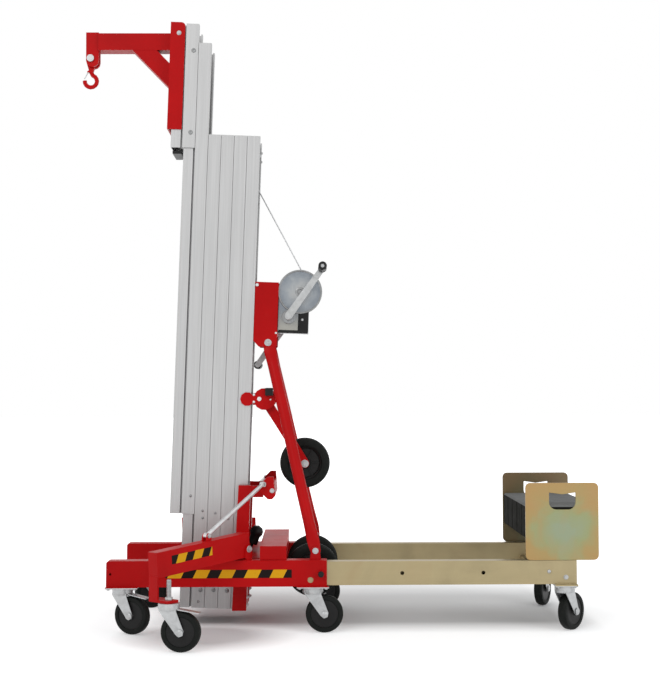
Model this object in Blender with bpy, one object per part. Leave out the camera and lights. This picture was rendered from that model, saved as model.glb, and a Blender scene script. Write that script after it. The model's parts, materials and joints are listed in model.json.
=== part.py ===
"""A hand-operated counterbalance stacker with a telescopic mast.

Metres, +Z up. The floor is Z = 0, the boom points to -X and the counterweight stands at +X.
Near is -Y and far is +Y. The mast leans back a little, and its parts are laid out in a frame of
their own: x runs back from the rear edge of the fixed stage, y across, z up along the mast.
"""

import math

import bmesh
import bpy
from mathutils import Matrix, Vector

# Gap between pieces that touch, and play between pieces that run
FIT = 0.0003
SLIDE_PLAY = 0.0005
# How far a welded member is let into its neighbour
WELD = 0.001

# Base rails
CASTER_HEIGHT = 0.154
RAIL_LENGTH = 0.7255
RAIL_REAR_X = -0.023
RAIL_Y = 0.250
RAIL_WIDTH = 0.050
RAIL_HEIGHT = 0.086
RAIL_WALL = 0.003
RAIL_NOSE_RADIUS = 0.010
RAIL_NOSE_HOLE_RADIUS = 0.004
RAIL_NOSE_HOLE_SETBACK = 0.014
WITNESS_HOLE_RADIUS = 0.010
WITNESS_HOLE_SETBACK = 0.054
WITNESS_HOLE_HEIGHT = 0.021

# Extension rails and their lock pins
EXTENSION_PLAY = 0.001
EXTENSION_OUT = 0.8257
EXTENSION_LAP = 0.180
EXTENSION_WALL = 0.003
LOCK_PITCH = 0.268
LOCK_HOLES = 3
LOCK_HOLE_RADIUS = 0.0065
LOCK_PIN_SETBACK = 0.0195
LOCK_PIN_RADIUS = 0.0055
LOCK_PIN_REACH = 0.012
LOCK_HEAD_RADIUS = 0.010
LOCK_HEAD_LENGTH = 0.014
TIE_SETBACK = 0.0917
TIE_WIDTH = 0.040
TIE_HEIGHT = 0.030

# Counterweight
WEIGHT_REAR_X = 0.877
WEIGHT_LENGTH = 0.2425
WEIGHT_HEIGHT = 0.2547
WEIGHT_CORNER = 0.016
WEIGHT_PLATE = 0.006
WEIGHT_PLATE_SETBACK = 0.0025
HAND_HOLE_WIDTH = 0.088
HAND_HOLE_DEPTH = 0.056
HAND_HOLE_SIDE_MARGIN = 0.0785
HAND_HOLE_TOP_MARGIN = 0.032
HAND_HOLE_CORNER = 0.024
HAND_HOLE_SAG = 0.006
STACK_SLABS = 5
STACK_HEIGHT = 0.113
STACK_RAISE = 0.067
STACK_SIDE_INSET = 0.004
STACK_ROUNDING = 0.010

# Casters
WHEEL_RADIUS = 0.0635
WHEEL_SIDES = 16
WHEEL_HUB_HALF = 0.0175
WHEEL_HUB_RADIUS = 0.0130
WHEEL_TYRE_HALF = 0.016
CASTER_AXLE_RADIUS = 0.005
CASTER_TRAIL = 0.038
CASTER_PLATE = 0.004
CASTER_PLATE_LENGTH = 0.105
CASTER_PLATE_WIDTH = 0.085
FORK_CROWN_RADIUS = 0.034
FORK_CROWN_HEIGHT = 0.018
FORK_LEG = 0.003
FORK_LEG_INNER = 0.0195
FORK_BOSS_RADIUS = 0.0135
FORK_TOP_HALF = 0.027
AXLE_HEAD_RADIUS = 0.009
AXLE_HEAD_LENGTH = 0.003
PEDAL_LENGTH = 0.080
PEDAL_WIDTH = 0.030
PEDAL_THICKNESS = 0.003
PEDAL_SLOPE = math.radians(9.5)
FRONT_CASTER_SETBACK = 0.0515
FRONT_CASTER_TURN = math.radians(-25)
MIDDLE_CASTER_SETBACK = 0.046
REAR_CASTER_SETBACK = 0.0367
NEAR_REAR_CASTER_TURN = math.radians(48)
FAR_REAR_CASTER_TURN = math.radians(63)
OUTRIGGER_CASTER_TURN = math.radians(-8)

# Cross member, floor plate, mast posts and brace block
CROSS_FRONT_X = -0.244
CROSS_LENGTH = 0.088
CROSS_HEIGHT = 0.045
CROSS_HALF_WIDTH = 0.262
FLOOR_FRONT_X = -0.335
FLOOR_PLATE = 0.008
FLOOR_SIDE_GAP = 0.006
POST_HEIGHT = 0.425
POST_BOTTOM_FRONT_X = -0.3446
POST_BOTTOM_REAR_X = -0.297
POST_TOP_FRONT_X = -0.322
POST_TOP_REAR_X = -0.281
POST_THICKNESS = 0.032
FOOT_TIE_HEIGHT = 0.100
FOOT_TIE_THICKNESS = 0.0045
ROPE_ANCHOR_THICKNESS = 0.005
ROPE_ANCHOR_HALF = 0.020
BLOCK_FRONT_X = -0.2427
BLOCK_LENGTH = 0.0470
BLOCK_BOTTOM_Z = 0.4310
BLOCK_HEIGHT = 0.0760
BLOCK_CHAMFER = 0.022
BLOCK_TOP_RECESS = 0.026
BLOCK_HALF_WIDTH = 0.1660
BLOCK_ARM_HEIGHT = 0.040
BLOCK_ARM_THICKNESS = 0.008
BLOCK_WALL = 0.005

# Transport wheels behind the mast
TRANSPORT_X = -0.0695
TRANSPORT_Z = 0.190
TRANSPORT_RADIUS = 0.090
TRANSPORT_Y = 0.125
TRANSPORT_HUB_HALF = 0.022
TRANSPORT_TYRE_HALF = 0.018
TRANSPORT_AXLE_RADIUS = 0.010
TRANSPORT_COLLAR_RADIUS = 0.016
TRANSPORT_COLLAR = 0.005
TRANSPORT_SIDES = 16

# Mast
MAST_FOOT_X = -0.3071
MAST_FOOT_Z = 0.049
MAST_LEAN = math.radians(2.1)
STAGE_COUNT = 5
STAGE_LENGTH = 1.632
STAGE_PITCH = 0.0451
STAGE_HALF_WIDTH = 0.0825
STAGE_GAP = 0.001
STAGE_WALL = 0.004
LIP_THICKNESS = 0.005
LIP_REACH = 0.020
NECK_HALF_WIDTH = 0.056
FLANGE_HALF_WIDTH = 0.0765
RAIL_SECTION_WALL = 0.003
FRONT_STAGE_RAISE = 0.319
CARRIAGE_LENGTH = 0.4335
CARRIAGE_HEIGHT = 1.583

# Boom, hook and latch
BOOM_POST_LENGTH = 0.375
BOOM_POST_HEIGHT = 1.646
BOOM_POST_DEPTH = 0.051
BOOM_POST_WEB = 0.006
BOOM_POST_FLANGE = 0.004
BOOM_POST_CORNER = 0.014
BOOM_FRONT_X = -0.818
BOOM_BOTTOM_Z = BOOM_POST_HEIGHT + 0.3478
BOOM_HEIGHT = 0.0595
BOOM_HALF_WIDTH = 0.030
BOOM_WALL = 0.003
BRACE_BOOM_FRONT_X = -0.6984
BRACE_BOOM_REAR_X = -0.6136
BRACE_POST_TOP_Z = BOOM_POST_HEIGHT + 0.2933
BRACE_POST_BOTTOM_Z = BOOM_POST_HEIGHT + 0.2085
CLEVIS_LENGTH = 0.0445
CLEVIS_DROP = 0.0356
CLEVIS_RISE = 0.005
CLEVIS_HALF_WIDTH = 0.022
CLEVIS_SLOT_HALF = 0.011
CLEVIS_SLOT_TOP_Z = BOOM_BOTTOM_Z - 0.0058
HOOK_PIN_X = -0.8457
HOOK_PIN_Z = BOOM_BOTTOM_Z - 0.0273
HOOK_PIN_RADIUS = 0.0075
HOOK_PIN_HEAD_RADIUS = 0.013
HOOK_PIN_HEAD = 0.006
HOOK_EYE_RADIUS = 0.0190
HOOK_NECK_RADIUS = 0.0078
HOOK_NECK_LENGTH = 0.040
HOOK_PLATE_HALF = 0.0078
HOOK_BAR_RADIUS = 0.0075
HOOK_BOWL_RADIUS = 0.0215
HOOK_BOWL_X = -0.8479
HOOK_BOWL_Z = HOOK_PIN_Z - 0.0767
LATCH_TOP = (-0.8572, HOOK_PIN_Z - 0.0440)
LATCH_TIP = (-0.8705, HOOK_PIN_Z - 0.0680)
LATCH_THICKNESS = 0.0025
LATCH_WIDTH = 0.009
LATCH_EYE_RADIUS = 0.003
LATCH_PIN_RADIUS = 0.0015
LATCH_EAR = 0.002

# Winch bracket on the mast, in the mast's frame
BRACKET_DEPTH = 0.082
BRACKET_BOTTOM = 0.902
BRACKET_HEIGHT = 0.224
BRACKET_WALL = 0.005
BRACKET_HALF_WIDTH = 0.0795
BRACKET_CHAMFER = 0.020

# Winch, in the mast's frame
DRUM_AXIS = (0.1560, 1.0968)
CRANK_AXIS = (0.1202, 1.0086)
WINCH_PLATE = 0.003
WINCH_HALF_WIDTH = 0.0515
WINCH_BOTTOM = 0.9545
WINCH_REAR = 0.189
WINCH_STEP_HEIGHT = 0.075
WINCH_BACK_HEIGHT = 0.170
WINCH_BACK_PLATE = 0.004
WINCH_DRUM_LUG_RADIUS = 0.035
WINCH_CRANK_LUG_RADIUS = 0.020
GEAR_TEETH = 36
PINION_TEETH = 15
GEAR_WIDTH = 0.008
GEAR_OUT = 0.0025
DRUM_BARREL_RADIUS = 0.0389
DRUM_FLANGE_RADIUS = 0.062
DRUM_FLANGE = 0.003
DRUM_AXLE_RADIUS = 0.008
DRUM_SIDE_PLAY = 0.0025
DRUM_SIDES = 16
COVER_RADIUS = 0.0764
COVER_PLATE = 0.002
COVER_GAP = 0.0025
COVER_RIM = 0.002
COVER_FRONT = 0.0835
COVER_REAR = 0.152
CRANK_SHAFT_RADIUS = 0.006
CRANK_RADIUS = 0.200
CRANK_ANGLE = math.radians(54.5)
CRANK_ARM_INNER = 0.127
CRANK_ARM_THICKNESS = 0.005
CRANK_HUB_RADIUS = 0.013
CRANK_TIP_RADIUS = 0.010
CRANK_NUT_RADIUS = 0.010
CRANK_NUT = 0.005
GRIP_LENGTH = 0.100
GRIP_RADIUS = 0.0145
GRIP_WAIST_RADIUS = 0.0120
GRIP_PIN_RADIUS = 0.005
GRIP_PIN_HEAD_RADIUS = 0.009
GRIP_PIN_HEAD = 0.003

# Wire rope and the sheave that turns it into the mast
ROPE_RADIUS = 0.0022
SHEAVE_AXIS = (0.0, 1.450)
SHEAVE_DEPTH = 0.0202
SHEAVE_GROOVE_RADIUS = 0.0148
SHEAVE_RIM_RADIUS = 0.0180
SHEAVE_HALF_WIDTH = 0.006
SHEAVE_AXLE_RADIUS = 0.005
SHEAVE_SIDES = 14

# Struts between the winch bracket and the rails
STRUT_TOP_X = -0.2219
STRUT_TOP_Z = 0.9664
STRUT_FOOT_X = -0.0604
STRUT_FOOT_HEIGHT = 0.029
STRUT_RADIUS = 0.018
STRUT_PLATE = 0.007
STRUT_PLATE_LENGTH = 0.070
STRUT_TUBE_START = 0.045
STRUT_PIN_RADIUS = 0.006
STRUT_EAR = 0.007
STRUT_SIDES = 12

# Loading wheel
LOADING_PIVOT = (-0.2341, 0.7687)
LOADING_CENTRE = (-0.0956, 0.5454)
LOADING_RADIUS = 0.0875
LOADING_HUB_HALF = 0.0205
LOADING_TYRE_HALF = 0.0200
LOADING_SIDES = 16
LOADING_ARM = 0.033
LOADING_ARM_Y = -0.0525
LOADING_AXLE_RADIUS = 0.008
INDEX_DISC_RADIUS = 0.038
INDEX_LOBE_RADIUS = 0.024
INDEX_NECK_HALF = 0.013
INDEX_LOBE_X = -0.2936
INDEX_PLATE = 0.005
LOADING_PIN_RADIUS = 0.008
LOADING_HUB_RADIUS = 0.014
LOADING_CROSS_FRONT = 0.006
LOADING_CROSS_DEPTH = 0.012
LOADING_CROSS_HEIGHT = 0.040
INDEX_KNOB_OFFSET = (0.0205, 0.0270)
INDEX_KNOB_RADIUS = 0.007
INDEX_KNOB_LENGTH = 0.010

# Outriggers, in a frame at the pivot: x out along the beam, y towards the rear of the machine
OUTRIGGER_PIVOT_X = -0.299
OUTRIGGER_PIVOT_HEIGHT = 0.0368
OUTRIGGER_ANGLE = math.radians(49.1)
OUTRIGGER_REACH = 0.4005
BEAM_WIDTH = 0.040
BEAM_HEIGHT = 0.079
BEAM_WALL = 0.003
BEAM_DROP = math.radians(3.8)
BEAM_RISE = 0.0127
BEAM_HEEL = 0.010
BEAM_PIN_RADIUS = 0.007
BEAM_EAR = 0.006
BEAM_EAR_HALF = 0.016
FOOT_PLATE = 0.008
FOOT_PLATE_LENGTH = 0.046
FOOT_PLATE_REACH = 0.036
END_POST_DEPTH = 0.030
SWIVEL_INWARD = 0.0238
SWIVEL_ASIDE = 0.0454
STEM_RADIUS = 0.007
STEM_TOP_Z = 0.221
STEM_NUT_RADIUS = 0.012
STEM_NUT = 0.009
LUG_X = 0.170
LUG_Z = 0.057
LUG_HALF_GAP = 0.0075
LUG_EAR = 0.004
LUG_RADIUS = 0.010
LUG_PIN_RADIUS = 0.004
BRACE_ROD_TIP = (-0.095, 0.2058)
BRACE_ROD_RADIUS = 0.007
BRACE_ROD_EYE_RADIUS = 0.009
BRACE_ROD_EYE_HALF = 0.007

# Mast lock at the foot of the mast
LOCK_KNOB_X = -0.2885
LOCK_KNOB_TILT = math.radians(20)
LOCK_KNOB_STEM_RADIUS = 0.005
LOCK_KNOB_STEM = 0.024
LOCK_KNOB_STEM_TAIL = 0.014
LOCK_KNOB_BODY_RADIUS = 0.017
LOCK_KNOB_RADIUS = 0.023
LOCK_KNOB_CENTRE = 0.068

# Finishes: colour, roughness, metallic
FINISHES = {
    "red_paint": ((0.52, 0.012, 0.012), 0.38, 0.0),
    "aluminium": ((0.62, 0.63, 0.64), 0.42, 1.0),
    "zinc": ((0.66, 0.67, 0.68), 0.35, 1.0),
    "yellow_zinc": ((0.72, 0.56, 0.30), 0.38, 1.0),
    "black_plastic": ((0.020, 0.020, 0.022), 0.45, 0.0),
    "black_rubber": ((0.028, 0.028, 0.028), 0.65, 0.0),
    "black_iron": ((0.030, 0.032, 0.036), 0.50, 0.0),
    "steel_rope": ((0.45, 0.46, 0.47), 0.40, 1.0),
}

RAIL_TOP = CASTER_HEIGHT + RAIL_HEIGHT
RAIL_FRONT_X = RAIL_REAR_X - RAIL_LENGTH
RAIL_INNER_Y = RAIL_Y - RAIL_WIDTH / 2
EXTENSION_HEIGHT = RAIL_HEIGHT - 2 * (RAIL_WALL + EXTENSION_PLAY)
EXTENSION_WIDTH = RAIL_WIDTH - 2 * (RAIL_WALL + EXTENSION_PLAY)
EXTENSION_BOTTOM = CASTER_HEIGHT + RAIL_WALL + FIT
EXTENSION_TOP = EXTENSION_BOTTOM + EXTENSION_HEIGHT
EXTENSION_REAR_X = RAIL_REAR_X + EXTENSION_OUT
EXTENSION_FRONT_X = RAIL_REAR_X - EXTENSION_LAP
LOCK_PIN_X = RAIL_REAR_X - LOCK_PIN_SETBACK
LOCK_PIN_Z = EXTENSION_BOTTOM + EXTENSION_HEIGHT / 2
CASTER_TOP = CASTER_HEIGHT - CASTER_PLATE - FIT
BODY_DEPTH = STAGE_PITCH - STAGE_GAP
NECK_DEPTH = STAGE_GAP + LIP_THICKNESS + SLIDE_PLAY
RAIL_SECTION_DEPTH = STAGE_PITCH - STAGE_WALL - SLIDE_PLAY
OUTRIGGER_PIVOT_Z = RAIL_TOP + OUTRIGGER_PIVOT_HEIGHT

SIDEWAYS = Matrix.Rotation(math.pi / 2, 4, "X")


def shift(x=0.0, y=0.0, z=0.0):
    """Translation matrix."""
    return Matrix.Translation((x, y, z))


MAST = shift(MAST_FOOT_X, 0, MAST_FOOT_Z) @ Matrix.Rotation(MAST_LEAN, 4, "Y")


def clear_scene():
    """Remove what the file holds, so that the script can run again."""
    for thing in list(bpy.data.objects):
        bpy.data.objects.remove(thing, do_unlink=True)
    for mesh in list(bpy.data.meshes):
        bpy.data.meshes.remove(mesh)


def make_finishes():
    """One Principled material for each finish."""
    made = {}
    for name, (colour, roughness, metallic) in FINISHES.items():
        material = bpy.data.materials.new(name)
        material.use_nodes = True
        shader = material.node_tree.nodes["Principled BSDF"]
        shader.inputs["Base Color"].default_value = (*colour, 1.0)
        shader.inputs["Roughness"].default_value = roughness
        shader.inputs["Metallic"].default_value = metallic
        made[name] = material
    return made


def object_from(mesh, frame=None):
    """A loose object in the workshop collection."""
    thing = bpy.data.objects.new("blank", mesh)
    thing.matrix_world = frame if frame is not None else Matrix()
    bpy.data.collections["workshop"].objects.link(thing)
    return thing


def mesh_from(builder):
    """A mesh made in bmesh by the builder function."""
    work = bmesh.new()
    builder(work)
    mesh = bpy.data.meshes.new("blank")
    work.to_mesh(mesh)
    work.free()
    return mesh


def block(size, centre=(0, 0, 0), frame=None, rounding=0.0, segments=2):
    """A box with its edges rounded if asked for."""

    def build(work):
        bmesh.ops.create_cube(work, size=1.0)
        bmesh.ops.scale(work, vec=size, verts=work.verts)
        if rounding:
            bmesh.ops.bevel(work, geom=work.edges[:], offset=rounding, segments=segments,
                            profile=0.5, affect="EDGES", material=-1)
        bmesh.ops.translate(work, vec=centre, verts=work.verts)

    return object_from(mesh_from(build), frame)


def box_between(low, high, frame=None):
    """A box given by its two corners."""
    size = [high[i] - low[i] for i in range(3)]
    centre = [(high[i] + low[i]) / 2 for i in range(3)]
    return block(size, centre, frame)


def bar(start, end, radius, sides=12, frame=None):
    """A round bar between two points."""
    start = Vector(start)
    run = Vector(end) - start

    def build(work):
        bmesh.ops.create_cone(work, cap_ends=True, segments=sides, radius1=radius, radius2=radius,
                              depth=run.length)
        turn = run.to_track_quat("Z", "Y").to_matrix()
        bmesh.ops.rotate(work, cent=(0, 0, 0), matrix=turn, verts=work.verts)
        bmesh.ops.translate(work, vec=start + run / 2, verts=work.verts)

    return object_from(mesh_from(build), frame)


def cross_bar(x, z, y_start, y_end, radius, sides=12, frame=None):
    """A round bar that runs across the machine."""
    return bar((x, y_start, z), (x, y_end, z), radius, sides, frame)


def arc(centre, radius, start, end, steps):
    """Points of an arc, angles in degrees."""
    points = []
    for i in range(steps + 1):
        angle = math.radians(start + (end - start) * i / steps)
        points.append((centre[0] + radius * math.cos(angle), centre[1] + radius * math.sin(angle)))
    return points


def strap(first, second, first_radius, second_radius, steps=5):
    """Outline of a link with a round end at each point."""
    run = Vector(second) - Vector(first)
    heading = math.degrees(math.atan2(run.y, run.x))
    spread = math.degrees(math.acos((first_radius - second_radius) / run.length))
    outline = arc(first, first_radius, heading + spread, heading + 360 - spread, steps)
    return outline + arc(second, second_radius, heading - spread, heading + spread, steps)


def rounded_rectangle(low, high, radius, steps=4):
    """Outline of a rectangle with round corners."""
    corners = (((high[0] - radius, low[1] + radius), -90), ((high[0] - radius, high[1] - radius), 0),
               ((low[0] + radius, high[1] - radius), 90), ((low[0] + radius, low[1] + radius), 180))
    outline = []
    for centre, start in corners:
        outline += arc(centre, radius, start, start + 90, steps)
    return outline


def evaluated_mesh(thing):
    """The mesh of an object with its modifiers applied."""
    graph = bpy.context.evaluated_depsgraph_get()
    return bpy.data.meshes.new_from_object(thing.evaluated_get(graph))


def plate(loops, thickness, frame=None):
    """A flat outline, with holes if more loops are given, made solid about its plane."""
    curve = bpy.data.curves.new("outline", "CURVE")
    curve.dimensions = "2D"
    curve.fill_mode = "BOTH"
    curve.extrude = thickness / 2
    for loop in loops:
        spline = curve.splines.new("POLY")
        spline.points.add(len(loop) - 1)
        for point, (x, y) in zip(spline.points, loop):
            point.co = (x, y, 0, 1)
        spline.use_cyclic_u = True
    drawn = bpy.data.objects.new("outline", curve)
    bpy.data.collections["workshop"].objects.link(drawn)
    mesh = evaluated_mesh(drawn)
    bpy.data.objects.remove(drawn)
    work = bmesh.new()
    work.from_mesh(mesh)
    bmesh.ops.remove_doubles(work, verts=work.verts, dist=0.00001)
    bmesh.ops.recalc_face_normals(work, faces=work.faces)
    work.to_mesh(mesh)
    work.free()
    return object_from(mesh, frame)


def side_plate(loops, y_low, y_high, frame=None):
    """A plate whose outline is drawn in x and z, between two values of y."""
    place = shift(0, (y_low + y_high) / 2, 0) @ SIDEWAYS
    if frame is not None:
        place = frame @ place
    return plate(loops, y_high - y_low, place)


def turned(profile, sides, x=0.0, z=0.0, frame=None, turn=0.0):
    """A profile of (radius, y) points turned about an axis across the machine.

    It makes a ring, or a solid piece if it starts and ends on the axis.
    """
    first = 1 if profile[0][0] == 0 else 0

    def build(work):
        points = [work.verts.new((radius, y, 0)) for radius, y in profile]
        edges = [work.edges.new((points[i - 1], points[i])) for i in range(first, len(points))]
        bmesh.ops.rotate(work, cent=(0, 0, 0), matrix=Matrix.Rotation(turn, 3, "Y"), verts=work.verts)
        bmesh.ops.spin(work, geom=points + edges, cent=(0, 0, 0), axis=(0, 1, 0), dvec=(0, 0, 0),
                       angle=math.tau, steps=sides, use_merge=True, use_duplicate=False)
        bmesh.ops.remove_doubles(work, verts=work.verts, dist=0.000001)
        bmesh.ops.recalc_face_normals(work, faces=work.faces)

    place = shift(x, 0, z)
    if frame is not None:
        place = frame @ place
    return object_from(mesh_from(build), place)


def round_bar(points, radius, frame=None, resolution=2):
    """A round bar bent along points."""
    curve = bpy.data.curves.new("route", "CURVE")
    curve.dimensions = "3D"
    curve.bevel_depth = radius
    curve.bevel_resolution = resolution
    curve.use_fill_caps = True
    spline = curve.splines.new("POLY")
    spline.points.add(len(points) - 1)
    for point, place in zip(spline.points, points):
        point.co = (*place, 1)
    drawn = bpy.data.objects.new("route", curve)
    bpy.data.collections["workshop"].objects.link(drawn)
    mesh = evaluated_mesh(drawn)
    bpy.data.objects.remove(drawn)
    work = bmesh.new()
    work.from_mesh(mesh)
    bmesh.ops.remove_doubles(work, verts=work.verts, dist=0.00001)
    bmesh.ops.recalc_face_normals(work, faces=work.faces)
    work.to_mesh(mesh)
    work.free()
    return object_from(mesh, frame)


def make_part(name, finish, solids, cuts=(), origin=(0, 0, 0)):
    """Weld the solids into one body, cut it, and hand it over as a named part of the machine."""
    base = solids[0]
    for operation, tools in (("UNION", solids[1:]), ("DIFFERENCE", cuts)):
        for tool in tools:
            change = base.modifiers.new(operation.lower(), "BOOLEAN")
            change.operation = operation
            change.object = tool
    mesh = evaluated_mesh(base)
    mesh.transform(base.matrix_world)
    mesh.transform(shift(*[-value for value in origin]))
    for thing in (*solids, *cuts):
        bpy.data.objects.remove(thing)
    return add_part(name, finish, mesh, origin)


def add_part(name, finish, mesh, origin=(0, 0, 0)):
    """Name the mesh, give it its finish and shade its round faces smooth."""
    mesh.name = name
    mesh.materials.clear()
    mesh.materials.append(FINISH_MATERIALS[finish])
    mesh.shade_smooth()
    mesh.set_sharp_from_angle(angle=math.radians(35))
    part = bpy.data.objects.new(name, mesh)
    part.location = origin
    bpy.data.collections["manual_stacker"].objects.link(part)
    return part


def mirrored_part(name, source):
    """The same part on the other side of the machine."""
    mesh = source.data.copy()
    work = bmesh.new()
    work.from_mesh(mesh)
    bmesh.ops.transform(work, matrix=Matrix.Diagonal((1, -1, 1, 1)), verts=work.verts)
    bmesh.ops.reverse_faces(work, faces=work.faces)
    work.to_mesh(mesh)
    work.free()
    origin = (source.location.x, -source.location.y, source.location.z)
    part = bpy.data.objects.new(name, mesh)
    mesh.name = name
    part.location = origin
    bpy.data.collections["manual_stacker"].objects.link(part)
    return part


def caster_plate(x, y, underside_of, length=CASTER_PLATE_LENGTH):
    """Mounting plate of a caster, welded under a rail."""
    low = (x - length / 2, y - CASTER_PLATE_WIDTH / 2, CASTER_HEIGHT - CASTER_PLATE)
    high = (x + length / 2, y + CASTER_PLATE_WIDTH / 2, underside_of + WELD)
    return box_between(low, high)


def outrigger_frame(side):
    """Frame at an outrigger's pivot, for the near side (-1) or the far side (+1)."""
    out = Vector((-math.cos(OUTRIGGER_ANGLE), side * math.sin(OUTRIGGER_ANGLE), 0))
    aside = Vector((-side * out.y, side * out.x, 0)) * -1
    frame = Matrix.Identity(4)
    frame.col[0] = (*out, 0)
    frame.col[1] = (*aside, 0)
    frame.col[3] = (OUTRIGGER_PIVOT_X, side * RAIL_Y, OUTRIGGER_PIVOT_Z, 1)
    return frame


def build_base_rails():
    """Rectangular tubes, closed in front, with caster plates, strut ears and outrigger ears."""
    nose = rounded_rectangle((0, 0), (RAIL_NOSE_RADIUS * 3, RAIL_NOSE_RADIUS * 3), RAIL_NOSE_RADIUS)
    outline = [point for point in nose if point[0] <= RAIL_NOSE_RADIUS and point[1] >= RAIL_NOSE_RADIUS * 2]
    outline = [(RAIL_FRONT_X + x, RAIL_TOP - RAIL_NOSE_RADIUS * 3 + z) for x, z in outline]
    outline += [(RAIL_FRONT_X, CASTER_HEIGHT), (RAIL_REAR_X, CASTER_HEIGHT), (RAIL_REAR_X, RAIL_TOP)]
    tube = side_plate([outline], -RAIL_Y - RAIL_WIDTH / 2, -RAIL_INNER_Y)
    ear_y = STRUT_PLATE / 2 + FIT
    solids = [
        tube,
        caster_plate(RAIL_FRONT_X + FRONT_CASTER_SETBACK, -RAIL_Y, CASTER_HEIGHT),
        caster_plate(RAIL_REAR_X - MIDDLE_CASTER_SETBACK, -RAIL_Y, CASTER_HEIGHT),
    ]
    foot_z = RAIL_TOP + STRUT_FOOT_HEIGHT
    ear = strap((STRUT_FOOT_X, RAIL_TOP), (STRUT_FOOT_X, foot_z), STRUT_RADIUS, STRUT_RADIUS * 0.8, 5)
    ear = [(x, max(z, RAIL_TOP - WELD)) for x, z in ear]
    for side in (-1, 1):
        edges = sorted((-RAIL_Y + side * ear_y, -RAIL_Y + side * (ear_y + STRUT_EAR)))
        solids.append(side_plate([ear], *edges))
    pin_half = ear_y + STRUT_EAR
    solids.append(cross_bar(STRUT_FOOT_X, foot_z, -RAIL_Y - pin_half, -RAIL_Y + pin_half, STRUT_PIN_RADIUS))
    frame = outrigger_frame(-1)
    ear_bottom = RAIL_TOP - WELD - OUTRIGGER_PIVOT_Z
    ear = strap((0, ear_bottom + BEAM_EAR_HALF), (0, 0), BEAM_EAR_HALF, BEAM_EAR_HALF * 0.8, 5)
    ear = [(x, max(z, ear_bottom)) for x, z in ear]
    ear_y = BEAM_WIDTH / 2 + SLIDE_PLAY
    for side in (-1, 1):
        edges = sorted((side * ear_y, side * (ear_y + BEAM_EAR)))
        solids.append(side_plate([ear], *edges, frame=frame))
    seat = BEAM_WIDTH / 2 + SLIDE_PLAY + BEAM_EAR
    solids.append(box_between((-BEAM_EAR_HALF, -seat, ear_bottom), (BEAM_EAR_HALF, seat, ear_bottom + 0.004),
                              frame))
    solids.append(cross_bar(0, 0, -seat, seat, BEAM_PIN_RADIUS, frame=frame))
    bore = box_between(
        (RAIL_FRONT_X + RAIL_WALL, -RAIL_Y - RAIL_WIDTH / 2 + RAIL_WALL, CASTER_HEIGHT + RAIL_WALL),
        (RAIL_REAR_X + RAIL_WIDTH, -RAIL_INNER_Y - RAIL_WALL, RAIL_TOP - RAIL_WALL))
    outer = -RAIL_Y - RAIL_WIDTH / 2
    holes = (
        (LOCK_PIN_X, LOCK_PIN_Z, LOCK_PIN_RADIUS + FIT),
        (RAIL_REAR_X - WITNESS_HOLE_SETBACK, CASTER_HEIGHT + WITNESS_HOLE_HEIGHT, WITNESS_HOLE_RADIUS),
        (RAIL_FRONT_X + RAIL_NOSE_HOLE_SETBACK, CASTER_HEIGHT + RAIL_HEIGHT / 2, RAIL_NOSE_HOLE_RADIUS),
    )
    cuts = [bore]
    for x, z, radius in holes:
        cuts.append(cross_bar(x, z, outer - RAIL_WALL, outer + 2 * RAIL_WALL, radius))
    near = make_part("base_rail_near", "red_paint", solids, cuts)
    mirrored_part("base_rail_far", near)


def build_extension():
    """Plated tubes that slide out of the base rails. A tie joins them low between the rails."""
    outer_y = RAIL_Y + EXTENSION_WIDTH / 2
    inner_y = RAIL_Y - EXTENSION_WIDTH / 2
    caster_x = EXTENSION_REAR_X - REAR_CASTER_SETBACK
    for side, name in ((-1, "extension_rail_near"), (1, "extension_rail_far")):
        low, high = sorted((side * outer_y, side * inner_y))
        solids = [
            box_between((EXTENSION_FRONT_X, low, EXTENSION_BOTTOM), (EXTENSION_REAR_X, high, EXTENSION_TOP)),
            caster_plate(caster_x, side * RAIL_Y, EXTENSION_BOTTOM, 2 * REAR_CASTER_SETBACK),
        ]
        if side > 0:
            tie_x = EXTENSION_REAR_X - TIE_SETBACK
            solids.append(box_between(
                (tie_x - TIE_WIDTH / 2, -inner_y + FIT, EXTENSION_BOTTOM + EXTENSION_WALL),
                (tie_x + TIE_WIDTH / 2, inner_y + WELD, EXTENSION_BOTTOM + EXTENSION_WALL + TIE_HEIGHT)))
        cuts = [box_between(
            (EXTENSION_FRONT_X - WELD, low + EXTENSION_WALL, EXTENSION_BOTTOM + EXTENSION_WALL),
            (EXTENSION_REAR_X + WELD, high - EXTENSION_WALL, EXTENSION_TOP - EXTENSION_WALL))]
        if side > 0:
            cuts.append(box_between(
                (tie_x - TIE_WIDTH / 2 + EXTENSION_WALL, -inner_y + 2 * EXTENSION_WALL, EXTENSION_BOTTOM),
                (tie_x + TIE_WIDTH / 2 - EXTENSION_WALL, inner_y - EXTENSION_WALL,
                 EXTENSION_BOTTOM + TIE_HEIGHT)))
        through = sorted((side * (outer_y + WELD), side * (outer_y - EXTENSION_WALL - WELD)))
        for i in range(LOCK_HOLES):
            cuts.append(cross_bar(LOCK_PIN_X + i * LOCK_PITCH, LOCK_PIN_Z, *through, LOCK_HOLE_RADIUS))
        make_part(name, "yellow_zinc", solids, cuts)


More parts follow.
